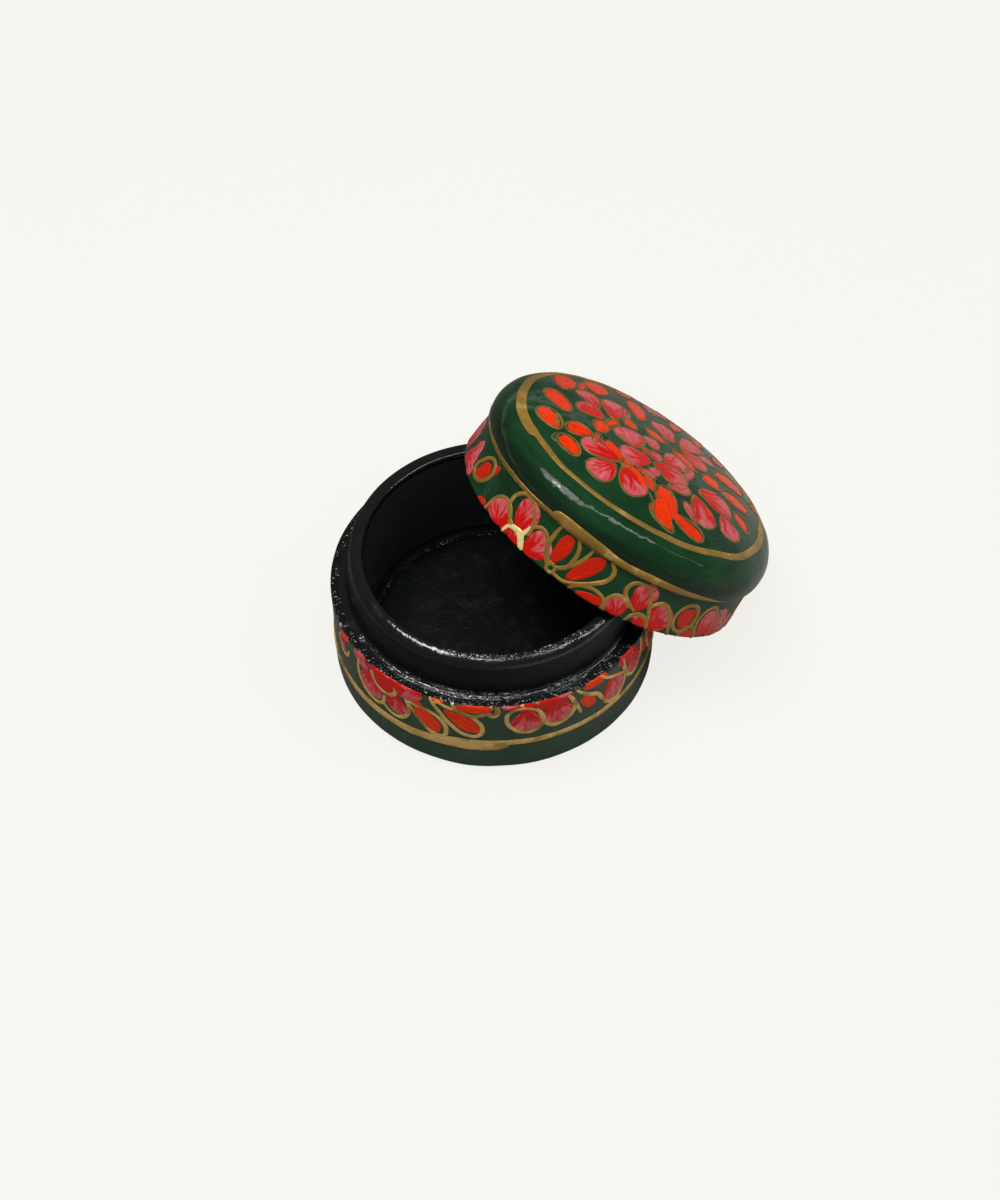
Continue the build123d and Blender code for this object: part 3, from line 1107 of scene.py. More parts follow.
BAND_LINES = [
    (True, [(-202.0, 3.2, 0.9), (-200.2, 5.0, 0.9), (-197.2, 6.6, 0.8), (-193.8, 7.0, 0.8),
            (-191.6, 6.0, 0.9), (-191.2, 4.6, 0.9), (-193.2, 2.9, 0.9), (-196.4, 1.9, 0.9),
            (-200.0, 1.9, 0.9)]),
    (False, [(-184.0, 0.3, 0.5), (-183.2, 2.8, 0.7), (-180.6, 4.5, 0.7), (-176.8, 4.7, 0.7),
             (-173.4, 3.4, 0.7), (-171.6, 1.6, 0.6)]),
    (False, [(-170.6, 2.2, 0.7), (-174.2, 3.4, 0.8), (-176.8, 5.2, 0.8), (-176.0, 7.2, 0.8),
             (-172.6, 8.4, 0.8), (-169.6, 8.2, 0.7), (-166.4, 7.0, 0.8), (-164.2, 5.0, 0.8),
             (-163.6, 3.0, 0.7)]),
    (False, [(-164.4, 4.2, 0.6), (-162.4, 5.5, 0.8), (-159.4, 5.8, 0.8), (-156.6, 4.8, 0.8),
             (-154.6, 2.8, 0.8), (-152.6, 1.4, 0.6)]),
    (False, [(-155.6, 8.8, 0.6), (-156.0, 6.4, 0.9), (-155.4, 4.0, 0.8), (-153.0, 2.2, 0.8),
             (-150.6, 1.9, 0.7)]),
    (False, [(-148.2, 8.8, 0.6), (-146.0, 7.2, 0.8), (-145.4, 5.0, 0.9), (-146.2, 3.0, 0.9),
             (-149.0, 1.8, 0.8)]),
    (True, [(-152.0, 1.2, 0.7), (-150.4, 2.0, 0.7), (-148.8, 1.3, 0.7), (-150.2, 0.4, 0.7)]),
    (False, [(-141.6, 8.8, 0.5), (-142.6, 6.4, 0.8), (-144.8, 4.0, 0.8), (-148.4, 2.0, 0.7)]),
    (False, [(-134.0, 8.6, 0.6), (-131.6, 7.4, 0.9), (-131.6, 5.6, 0.9), (-134.4, 3.8, 0.9),
             (-139.0, 2.0, 0.8), (-144.0, 0.7, 0.7), (-148.4, 0.7, 0.6)]),
    (False, [(-141.6, 0.1, 0.5), (-139.4, 1.5, 0.7), (-135.6, 2.4, 0.8), (-131.6, 2.4, 0.7),
             (-128.6, 1.6, 0.7), (-127.2, 0.0, 0.6)]),
    (False, [(-128.4, 0.1, 0.5), (-128.2, 2.2, 0.7), (-126.2, 3.8, 0.7), (-122.8, 3.8, 0.7),
             (-120.0, 2.6, 0.6)]),
    (False, [(-117.4, 2.4, 0.6), (-121.2, 3.6, 0.8), (-124.2, 5.2, 0.9), (-123.6, 7.0, 0.9),
             (-120.4, 7.9, 0.8), (-116.8, 7.5, 0.8), (-114.4, 5.8, 0.8), (-112.4, 3.6, 0.8),
             (-110.6, 2.0, 0.6)]),
    (False, [(-118.6, 0.0, 0.6), (-117.2, 1.5, 0.8), (-114.2, 2.3, 0.9), (-111.2, 1.6, 0.9),
             (-109.4, 0.0, 0.7)]),
    (False, [(-113.0, 3.6, 0.6), (-111.4, 5.2, 0.8), (-108.2, 5.8, 0.9), (-104.6, 4.6, 0.9),
             (-101.8, 2.4, 0.9), (-99.8, 0.1, 0.7)]),
    (True, [(-101.2, 4.2, 0.8), (-99.4, 6.3, 0.8), (-96.0, 7.2, 0.9), (-92.8, 6.3, 0.9),
            (-91.4, 4.2, 0.9), (-92.6, 2.2, 0.8), (-96.0, 1.3, 0.8), (-99.8, 2.2, 0.8)]),
    (False, [(-95.4, 0.1, 0.7), (-94.0, 1.9, 0.9), (-91.2, 2.6, 0.9), (-88.2, 1.9, 0.9),
             (-86.8, 0.1, 0.7)]),
    (False, [(-86.0, 0.6, 0.5), (-88.8, 2.8, 0.8), (-89.4, 5.0, 0.8), (-87.2, 6.8, 0.8),
             (-83.8, 7.2, 0.8), (-81.0, 5.8, 0.8), (-79.2, 3.4, 0.8), (-77.4, 1.0, 0.6)]),
    (False, [(-80.4, 6.6, 0.6), (-77.6, 5.6, 0.7), (-74.0, 4.0, 0.7), (-70.6, 1.8, 0.6)]),
]
# Thick pale gold at the heart of a flower on the lid's side.
BAND_HEART = [
    (False, [(-171.8, 1.8, 0.7), (-168.8, 2.3, 1.2), (-166.2, 2.2, 1.4), (-164.4, 1.2, 1.3),
             (-162.8, 0.1, 1.0)]),
    (False, [(-166.0, 2.0, 1.2), (-165.0, 3.4, 0.9), (-164.6, 4.6, 0.6)]),
    (False, [(-171.4, 2.0, 0.8), (-172.2, 0.9, 0.7), (-172.6, 0.0, 0.6)]),
]
# Line over the joint of band and crown: degrees, mm above the rim along the side, width in mm.
BAND_JOINT_LINE = [
    (-235, 8.9, 1.3), (-205, 8.95, 1.6), (-185, 9.0, 1.6), (-172, 9.2, 1.5), (-163, 9.4, 1.7),
    (-160.2, 9.5, 1.9), (-158.4, 9.9, 2.9), (-150, 10.05, 3.1), (-140, 9.9, 2.9),
    (-134, 9.8, 2.2), (-129, 9.85, 1.9),
    (-121, 9.95, 2.1), (-110, 9.85, 1.9), (-100, 9.65, 1.7), (-93, 9.4, 1.3), (-86, 9.1, 1.0),
    (-76, 8.95, 0.7), (-60, 8.95, 0.8), (-30, 9.0, 1.2), (0, 9.1, 1.3), (40, 9.0, 1.2),
    (80, 8.9, 1.1), (105, 8.9, 1.1), (121, 9.0, 1.2), (128, 9.1, 0.8),
]

# Wall of the cup: degrees round it and mm above the table. The flowers hang from the ledge.
CUP_PETALS = [
    (-173.0, 17.4, 4.0, 5.0, -110, 0.75), (-168.0, 13.0, 7.4, 6.4, -97, 0.55),
    (-156.4, 12.7, 6.8, 5.2, -78, 0.45), (-151.0, 17.6, 4.2, 6.4, -70, 0.40),
    (-161.2, 16.6, 5.6, 5.8, -90, 0.03), (-159.6, 18.3, 3.2, 10.0, -90, 0.0),
    (-109.0, 14.1, 6.4, 5.6, -92, 0.5), (-98.0, 14.9, 7.4, 6.2, -85, 0.45),
    (-114.6, 18.6, 3.0, 1.4, 180, 0.9), (-96.6, 18.7, 4.4, 1.2, 0, 0.9),
    (-73.8, 12.9, 7.4, 6.0, -80, 0.7), (-62.8, 14.2, 7.4, 5.6, -88, 0.6),
    (-67.0, 17.9, 3.4, 6.0, -90, 0.15), (-187.4, 13.4, 3.4, 2.6, -60, 0.9),
    # The last is a thin pink strip along the ledge's edge: a painted highlight for the shine on
    # the red there.
    (-157.6, 18.72, 0.75, 9.0, -90, 1.0),
]
CUP_DABS = [
    (-185.4, 16.9, 5.8, 2.1, 34, 0.0), (-143.8, 12.0, 7.4, 4.0, -55, 0.1),
    (-147.0, 15.2, 2.6, 2.2, -60, 0.15), (-131.4, 13.8, 8.2, 3.6, -42, 0.1),
    (-127.2, 17.9, 7.0, 2.6, 0, 0.1), (-139.8, 18.6, 2.4, 1.0, 0, 0.1),
    (-103.5, 18.0, 12.6, 3.2, 0, 0.9), (-86.0, 13.5, 4.8, 2.6, -52, 0.1),
    (-83.0, 17.9, 5.6, 2.6, 0, 0.1), (-53.5, 14.0, 5.6, 3.6, -60, 0.3),
]
CUP_LINES = [
    (False, [(-174.2, 16.6, 0.6), (-175.2, 13.6, 0.8), (-173.4, 10.8, 0.8), (-169.6, 9.0, 0.9),
             (-165.2, 8.7, 0.9), (-162.4, 9.8, 0.8), (-161.2, 12.4, 0.7)]),
    (False, [(-162.4, 10.2, 0.6), (-159.4, 8.8, 0.8), (-155.2, 8.7, 0.9), (-151.8, 10.4, 0.9),
             (-150.6, 13.2, 0.9), (-151.8, 15.6, 0.7)]),
    (False, [(-167.2, 17.2, 0.8), (-166.0, 15.2, 0.9), (-162.8, 13.8, 0.9), (-158.8, 14.0, 0.9),
             (-156.2, 15.4, 0.9), (-156.4, 16.8, 0.7)]),
    (True, [(-150.6, 15.0, 0.7), (-147.6, 14.9, 0.8), (-142.6, 14.6, 0.8), (-138.4, 12.8, 0.9),
            (-136.8, 10.0, 0.9), (-138.2, 8.2, 0.8), (-141.8, 8.4, 0.9), (-145.6, 10.4, 0.9),
            (-149.2, 13.2, 0.8)]),
    (True, [(-140.6, 18.0, 0.7), (-138.6, 15.0, 0.9), (-134.8, 12.0, 0.9), (-129.8, 9.9, 0.9),
            (-125.6, 10.0, 0.9), (-124.2, 12.2, 0.9), (-126.6, 14.8, 0.9), (-131.4, 16.6, 0.8),
            (-136.6, 17.4, 0.8)]),
    (False, [(-142.6, 18.9, 0.5), (-141.2, 17.2, 0.7), (-139.6, 15.4, 0.6)]),
    (False, [(-134.6, 18.6, 0.6), (-132.6, 16.8, 0.8), (-129.4, 15.9, 0.9), (-125.4, 16.0, 0.9),
             (-122.4, 16.9, 1.0), (-120.6, 16.2, 1.2), (-119.0, 17.0, 1.2), (-119.2, 18.6, 0.8)]),
    (True, [(-115.8, 14.6, 0.9), (-114.8, 16.9, 0.8), (-111.4, 17.8, 0.7), (-106.6, 17.2, 0.7),
            (-103.6, 15.2, 0.8), (-103.2, 12.8, 0.9), (-106.0, 10.9, 0.9), (-110.0, 10.6, 0.9),
            (-114.0, 12.2, 0.9)]),
    (False, [(-105.4, 17.2, 0.6), (-103.4, 14.2, 0.8), (-101.8, 11.8, 0.9), (-97.6, 10.8, 1.0),
             (-93.2, 12.0, 1.0), (-91.4, 14.8, 0.9), (-92.6, 17.0, 0.7)]),
    (False, [(-94.4, 18.7, 0.5), (-92.0, 16.0, 1.0), (-90.2, 13.4, 0.8), (-88.8, 11.2, 0.5)]),
    (False, [(-90.8, 18.4, 0.5), (-86.6, 15.8, 1.0), (-82.0, 14.0, 0.9), (-79.6, 11.6, 0.8),
             (-76.8, 9.2, 0.9), (-72.4, 8.6, 0.9), (-69.2, 10.4, 0.8), (-68.2, 13.4, 0.8),
             (-69.4, 16.2, 0.6)]),
    (False, [(-80.6, 18.6, 0.5), (-77.4, 16.8, 0.8), (-73.2, 15.4, 0.8), (-69.4, 14.2, 0.7)]),
    (False, [(-69.6, 18.2, 0.5), (-68.0, 14.6, 0.8), (-66.0, 11.8, 0.8), (-62.4, 10.7, 0.8),
             (-58.8, 12.2, 0.8), (-57.4, 15.4, 0.7), (-58.2, 18.2, 0.6)]),
    (False, [(-190.0, 15.0, 0.5), (-187.2, 12.6, 0.6), (-183.6, 12.2, 0.6), (-181.6, 14.4, 0.6)]),
    (False, [(-134.8, 18.5, 0.8), (-133.8, 18.7, 1.0)]),
    (False, [(-121.4, 18.5, 0.9), (-120.6, 18.72, 1.1)]),
    (False, [(-111.0, 18.6, 0.8), (-110.0, 18.72, 1.0)]),
    (False, [(-105.6, 18.5, 0.6), (-104.8, 18.7, 0.8)]),
    (False, [(-188.6, 18.4, 0.8), (-187.6, 18.7, 1.0)]),
]
# Line round the cup, drawn in one go from where it starts to where it runs past itself.
CUP_LINE = [
    (-141, 7.9, 0.5), (-133, 8.05, 1.0), (-126, 8.0, 1.3), (-110, 7.75, 1.4), (-90, 7.6, 1.3),
    (-60, 7.3, 1.2), (-20, 7.2, 1.3), (30, 7.0, 1.3), (90, 6.6, 1.4), (130, 6.2, 1.5),
    (160, 5.9, 1.5), (170, 5.9, 1.6), (185, 5.95, 1.7), (200, 6.25, 1.8), (210, 6.5, 2.0),
    (220, 6.75, 2.2), (232, 6.85, 2.4), (241, 6.8, 2.2), (243.6, 6.85, 1.6), (244.9, 6.95, 0.6),
]

# Groups that repeat where the hand went on in the same way: offsets in degrees from the group's
# middle, then mm as above.
FLOWER_UP = (
    [(-10, 2.0, 5.0, 4.6, 120, 0.45), (-1, 5.3, 6.3, 4.6, 92, 0.42), (9, 2.6, 5.8, 4.7, 58, 0.45),
     (0, 0.8, 2.5, 2.7, 90, 0.05)],
    [],
    [(False, [(-6, 2.4, 0.6), (-8, 5, 0.8), (-6, 7.5, 0.8), (-2, 8.2, 0.7), (3, 6.8, 0.8),
              (5, 4.2, 0.7)]),
     (False, [(-4, 0.1, 0.6), (-3, 1.8, 0.8), (0, 2.5, 0.8), (3, 1.6, 0.8), (4, 0, 0.6)]),
     (False, [(4, 4.8, 0.6), (7, 6, 0.8), (11.5, 5.2, 0.8), (15, 2.8, 0.8), (17, 0.3, 0.6)])],
)
LEAVES_UP = (
    [],
    [(-6, 5.0, 6.0, 2.8, 95, 0.1), (5, 4.8, 6.8, 3.0, 62, 0.1), (-1, 0.7, 5.4, 2.2, 5, 0.1)],
    [(False, [(-9, 8.3, 0.6), (-10, 5.6, 0.9), (-8, 2.6, 0.8), (-4, 1.6, 0.7)]),
     (False, [(-4, 8.2, 0.6), (-1, 6, 0.8), (-2, 3, 0.8), (-5, 1.6, 0.7)]),
     (False, [(9, 8.3, 0.6), (12, 6.6, 0.9), (9, 3.8, 0.8), (2, 1.9, 0.7)]),
     (False, [(-8, 0.6, 0.5), (-4, 2.3, 0.8), (2, 2.4, 0.8), (7, 0.2, 0.6)])],
)
DAB_UP = (
    [],
    [(-2, 4.3, 4.6, 3.4, 85, 0.2), (4.5, 0.8, 2.8, 3.2, 90, 0.3)],
    [(True, [(-6.2, 4.5, 0.8), (-4.8, 6.5, 0.8), (-1.8, 7.2, 0.7), (1.2, 6.2, 0.8),
             (2, 4.3, 0.8), (0.8, 2.5, 0.7), (-2.2, 1.8, 0.7), (-5.2, 2.6, 0.8)]),
     (False, [(0.6, 0.2, 0.6), (2, 2, 0.8), (5, 2.5, 0.8), (8, 1.4, 0.7), (9, 0, 0.6)])],
)
BAND_REST = [
    (-57, FLOWER_UP), (-30, DAB_UP), (-10, LEAVES_UP), (16, FLOWER_UP), (42, DAB_UP),
    (62, LEAVES_UP), (88, FLOWER_UP), (112, DAB_UP),
]
FLOWER_DOWN = (
    [(-7, 13.0, 7.0, 5.2, -100, 0.5), (5, 12.8, 6.6, 4.8, -78, 0.45),
     (-11, 16.0, 3.4, 4.2, -120, 0.6), (10, 16.1, 3.2, 4.6, -60, 0.4),
     (0, 16.0, 4.0, 5.2, -90, 0.06)],
    [],
    [(False, [(-15, 17.4, 0.6), (-13.5, 13, 0.8), (-10, 9.6, 0.8), (-5, 9.0, 0.8), (-1, 11, 0.7)]),
     (False, [(-1.5, 10.4, 0.6), (2, 9, 0.8), (7, 9, 0.8), (10.6, 11.4, 0.8), (9.6, 15, 0.6)]),
     (False, [(-6, 17.4, 0.7), (-4, 14.6, 0.8), (0, 13.6, 0.8), (4, 14.6, 0.8), (5.5, 17, 0.7)])],
)
LEAVES_DOWN = (
    [],
    [(-6, 12.7, 7.0, 3.2, -55, 0.1), (6, 14.0, 7.6, 3.1, -42, 0.1), (9, 17.1, 6.2, 2.4, 0, 0.05)],
    [(False, [(-12, 14.4, 0.7), (-7, 14.2, 0.8), (-2, 12.2, 0.8), (0, 9.2, 0.8), (-4, 9, 0.8),
              (-9, 11.8, 0.8), (-11.5, 15, 0.6)]),
     (False, [(-3, 18, 0.6), (0, 14.6, 0.8), (5, 11, 0.8), (11.6, 10.2, 0.7), (12, 12.4, 0.8),
              (7, 15.8, 0.8), (-1, 17.4, 0.6)])],
)
CUP_REST = [
    (-38, FLOWER_DOWN), (-14, LEAVES_DOWN), (12, FLOWER_DOWN), (37, LEAVES_DOWN),
    (63, FLOWER_DOWN), (89, LEAVES_DOWN), (115, FLOWER_DOWN),
]


def with_rest(petals, singles, strokes, rest, seed):
    """The plan with its repeated groups set in, each moved a little."""
    chance = random.Random(seed)
    petals, singles, strokes = list(petals), list(singles), list(strokes)
    for middle, (more_petals, more_dabs, more_lines) in rest:
        for source, target in ((more_petals, petals), (more_dabs, singles)):
            for x, y, long, wide, direction, tone in source:
                target.append((
                    middle + x + chance.uniform(-0.8, 0.8), y + chance.uniform(-0.25, 0.25),
                    long * chance.uniform(0.92, 1.08), wide * chance.uniform(0.9, 1.1),
                    direction + chance.uniform(-8, 8), tone + chance.uniform(0, 0.12),
                ))
        for closed, stroke in more_lines:
            moved = chance.uniform(-0.8, 0.8)
            strokes.append((closed, [
                (middle + x + moved, y + chance.uniform(-0.15, 0.15), wide)
                for x, y, wide in stroke
            ]))
    return petals, singles, strokes


def cup_wall():
    """The cup's outside as a surface to paint on. Its plan's heights are above the table."""
    cup = cup_sizes()
    underneath = 2 * MM + (math.pi / 2 - 2) * cup.foot_round
    return Wall(cup_side(), underneath, cup.radius, 0.3 * MM, cup.ledge + 0.16 * MM)


def band_wall():
    """The side of the lid from its rim up over the joint on to the shoulder."""
    lid = lid_sizes()
    side = [p for p in band_side() if p[0] > lid.band_radius - 0.05 * MM]
    crown = [
        p for p in crown_side()
        if lid.band_height + 0.15 * MM < p[1] < lid.band_height + 5 * MM
    ]
    underneath = lid.rim_round * (math.pi / 2 - 2) + lid.rim_radius - side[0][0]
    return Wall(side + crown, underneath, lid.rim_radius, -0.35 * MM, 12 * MM, lid_place())


# ---------------------------------------------------------------- operators

class BOX_OT_camera(bpy.types.Operator):
    """Sets the camera down where the box is looked at from"""
    bl_idname = "papier_box.camera"
    bl_label = "Camera"

    def execute(self, context):
        data = bpy.data.cameras.new("camera")
        data.lens = CAMERA_LENS
        data.sensor_width = CAMERA_SENSOR
        data.clip_start = 0.01
        camera = bpy.data.objects.new("camera", data)
        context.collection.objects.link(camera)
        heading, down, roll = (math.radians(angle) for angle in CAMERA_TURN)
        forward = Vector((
            math.cos(heading) * math.cos(down), math.sin(heading) * math.cos(down),
            -math.sin(down),
        ))
        right = Vector((math.sin(heading), -math.cos(heading), 0))
        up = right.cross(forward)
        side = right * math.cos(roll) + up * math.sin(roll)
        top = up * math.cos(roll) - right * math.sin(roll)
        turn = Matrix((side, top, -forward)).transposed().to_4x4()
        camera.matrix_world = Matrix.Translation(CAMERA_PLACE) @ turn
        context.scene.camera = camera
        return {"FINISHED"}


def area_light(name, direction, distance, size, power, shape="RECTANGLE"):
    """A flat lamp that looks at the box from a direction. size is its width and height."""
    data = bpy.data.lights.new(name, "AREA")
    data.shape = shape
    data.size, data.size_y = size
    data.energy = power
    lamp = bpy.data.objects.new(name, data)
    bpy.context.collection.objects.link(lamp)
    way = Vector(direction).normalized()
    lamp.location = Vector(LAMPS_AIM) + way * distance
    lamp.rotation_mode = "QUATERNION"
    lamp.rotation_quaternion = way.to_track_quat("Z", "Y")
    return lamp


def strip_light(name, start, end, wide, power, shape="RECTANGLE"):
    """A long lamp between two directions, seen in the lacquer as a streak."""
    a, b = Vector(start).normalized(), Vector(end).normalized()
    middle = (a + b).normalized()
    size = (WINDOW_DISTANCE * a.angle(b), wide)
    lamp = area_light(name, middle, WINDOW_DISTANCE, size, power, shape)
    along = (b - a).normalized()
    across = middle.cross(along).normalized()
    lamp.rotation_quaternion = Matrix((along, across, middle)).transposed().to_quaternion()
    return lamp


class BOX_OT_studio(bpy.types.Operator):
    """Lays the pale floor and hangs the lamps"""
    bl_idname = "papier_box.studio"
    bl_label = "Studio"

    def execute(self, context):
        bpy.ops.object.select_all(action="DESELECT")
        bpy.ops.mesh.primitive_circle_add(vertices=96, radius=FLOOR_RADIUS, fill_type="NGON")
        floor = context.object
        floor.name = "floor"
        self.floor_paper()
        coat(floor, "floor_paper")
        self.backdrop(context.scene)
        self.surround()
        for name, direction, size, power in (
            ("soft_top", (0.25, -0.1, 1.0), 0.8, 2.3),
            ("soft_front", (-0.95, -0.62, 0.75), 0.7, 0.75),
        ):
            lamp = area_light(name, direction, LAMP_DISTANCE, (size, size), power)
            lamp.visible_glossy = False
        left, near = (-0.355, 0.386, 0.851), (-0.085, -0.147, 0.985)
        right, far_right = (0.71, -0.41, 0.57), (0.82, -0.53, 0.20)
        strip_light("window_left", left, near, 0.20, 1.8, "ELLIPSE")
        strip_light("window_right", near, right, 0.05, 0.9)
        bulb = strip_light("bulb", (-0.30, 0.20, 0.93), (-0.28, 0.155, 0.947), 0.07, 0.35)
        bulb.data.color = (1.0, 0.84, 0.45)
        strip_light("window_end", right, far_right, 0.03, 0.09)
        return {"FINISHED"}

    def surround(self):
        """A grey tray round the box that only gloss sees, to keep the paper out of the lacquer."""
        bpy.ops.object.select_all(action="DESELECT")
        bpy.ops.mesh.primitive_circle_add(
            vertices=64, radius=TRAY_RADIUS, fill_type="NGON", location=TRAY_PLACE,
        )
        tray = bpy.context.object
        tray.name = "grey_card"
        with editing():
            bpy.ops.mesh.extrude_region_move(
                TRANSFORM_OT_translate={"value": (0, 0, TRAY_HEIGHT)},
            )
            bpy.ops.mesh.delete(type="ONLY_FACE")
        tree, shader, place = material("grey_card")
        side = ramp(tree, vectors(tree, "DOT_PRODUCT", place, (0.8, -0.6, 0)), -0.02, 0.09)
        tone = blend(tree, side, (0.12, 0.12, 0.115, 1), (0.50, 0.50, 0.48, 1))
        feed(tree, shader, {"Base Color": tone, "Roughness": 1.0, "Specular IOR Level": 0.0})
        coat(tray, "grey_card")
        for way in ("camera", "diffuse", "transmission", "volume_scatter", "shadow"):
            setattr(tray, "visible_" + way, False)

    def seen_plainly(self, tree):
        """Whether a ray shows what it meets, from the camera, in gloss or through glass."""
        path = put(tree, "ShaderNodeLightPath", {}).outputs
        seen = sums(tree, "MAXIMUM", path["Is Camera Ray"], path["Is Glossy Ray"])
        return sums(tree, "MAXIMUM", seen, path["Is Transmission Ray"])

    def floor_paper(self):
        """Pale paper. What the camera, gloss and glass see of it is mostly its plain colour."""
        tree, shader, _ = material("floor_paper")
        feed(tree, shader, {
            "Base Color": paint("floor"), "Roughness": 0.9, "Specular IOR Level": 0.0,
        })
        plain = put(tree, "ShaderNodeEmission", {"Color": paint("backdrop"), "Strength": 1.0})
        share = product(tree, self.seen_plainly(tree), 0.84)
        paper = put(
            tree, "ShaderNodeMixShader", {0: share, 1: shader.outputs[0], 2: plain.outputs[0]},
        )
        under = put(tree, "ShaderNodeBsdfTransparent", {})
        back = put(tree, "ShaderNodeNewGeometry", {}).outputs["Backfacing"]
        both = put(
            tree, "ShaderNodeMixShader", {0: back, 1: paper.outputs[0], 2: under.outputs[0]},
        )
        out = next(n for n in tree.nodes if n.type == "OUTPUT_MATERIAL")
        tree.links.new(both.outputs[0], out.inputs[0])

    def backdrop(self, scene):
        """Soft light from all round, and a pale backdrop. Gloss sees it darker overhead."""
        scene.world = bpy.data.worlds.new("studio")
        scene.world.use_nodes = True
        tree = scene.world.node_tree
        tree.nodes.clear()
        light = put(tree, "ShaderNodeBackground", {"Color": (1, 1, 1, 1), "Strength": 0.22})
        height = parted(tree, put(tree, "ShaderNodeTexCoord", {}).outputs["Generated"])[2]
        camera = put(tree, "ShaderNodeLightPath", {}).outputs["Is Camera Ray"]
        dark = sums(tree, "MAXIMUM", less(tree, ramp(tree, height, 0.02, 0.16), camera))
        tone = blend(tree, dark, paint("backdrop"), (0.09, 0.09, 0.09, 1))
        seen = put(tree, "ShaderNodeBackground", {"Color": tone, "Strength": 1.0})
        both = put(tree, "ShaderNodeMixShader", {
            0: self.seen_plainly(tree), 1: light.outputs[0], 2: seen.outputs[0],
        })
        put(tree, "ShaderNodeOutputWorld", {0: both.outputs[0]})


class BOX_OT_finishes(bpy.types.Operator):
    """Mixes the lacquers and paints"""
    bl_idname = "papier_box.finishes"
    bl_label = "Lacquers and Paints"

    def execute(self, context):
        for build in (lacquer_skin_group, brushed_ground_group, petal_strokes_group, grit_group,
                      wrinkles_group):
            build()
        lean, cup = lid_place(), cup_sizes()
        # The cup's green takes the patches of wear and painted sheen.
        green_lacquer("cup_green", rubbed=0.7, gloss=1.4)
        green_lacquer("lid_green", lean)
        black_lacquer("collar_black", shine=0.28)
        # The inside wall is painted a lighter black, as painted sheen.
        black_lacquer(
            "inside_black", waves=0.6, worn=0.1, ground="wall_sheen_black", shine=0.25, gloss=1.5,
            peel=0.08,
        )
        black_lacquer("lid_black", lean)
        # The lip, the seam at the collar's foot and the card's edge get painted glints on their
        # wrinkles.
        wrinkled_black(
            "lip_black", size=0.9, run=0.53, middle=cup.mouth_radius + 0.75 * MM,
            wide=1.6 * MM, pale=0.95, turn=-108, reach=30, filled=1.0,
        )
        wrinkled_black(
            "seam_black", size=0.9, run=0.48, middle=cup.bore + 0.3 * MM,
            wide=1.5 * MM, pale=0.5, turn=-125, reach=54, filled=0.3,
        )
        wrinkled_black(
            "toe_black", size=0.8, run=0.42, middle=cup.disc_radius + 0.2 * MM,
            wide=0.9 * MM, pale=0.9, gloss=1.4,
        )
        gritty_black("ledge_black")
        card_black("card_black")
        gold_paint("lid_gold", lean)
        gold_paint("fine_gold", lean, pale=0.1, thin=0.95, worn=0.14)
        gold_paint("cup_gold", pale=0.85, thin=0.3)
        gold_paint("heart_gold", lean, pale=1.4, thin=0.0, light="heart_gold")
        petal_paint("lid_petals", lean)
        petal_paint("cup_petals", pale=0.45)
        dab_paint("lid_orange", lean)
        dab_paint("side_orange", lean, full=0.26)
        dab_paint("cup_orange", full=0.52)
        return {"FINISHED"}


class BOX_OT_cup(bpy.types.Operator):
    """Turns the cup: green outside, with a gritty black ledge"""
    bl_idname = "papier_box.cup"
    bl_label = "Cup"

    def execute(self, context):
        cup = cup_sizes()
        outside = cup_side()
        inside = divided(
            [(cup.bore, cup.ledge), (cup.bore, cup.floor), (0, cup.floor)], span=2 * MM,
        )
        under = divided([(0, 0), outside[0]], span=1.5 * MM)
        piece = turned("cup_shell", under[:-1] + outside + inside[1:])
        edge = cup.bore + 0.1 * MM

        def share(place, normal):
            if place.z < 0.05 * MM or from_axis(place) < edge:
                return 0.0
            return 1.0 if normal.z < 0.3 else 0.35

        made_uneven(piece, share)
        coat(piece, "cup_green", "ledge_black", "collar_black")
        for face in piece.data.polygons:
            if face.normal.z < -0.9 and face.center.z < 0.3 * MM:
                face.material_index = 0
            elif from_axis(face.center) < edge - 0.2 * MM:
                face.material_index = 2
            elif face.normal.z > 0.55 and face.center.z > cup.ledge - 0.6 * MM:
                face.material_index = 1
        finished(piece, "base", "cup_lacquer", "base_shell")
        return {"FINISHED"}


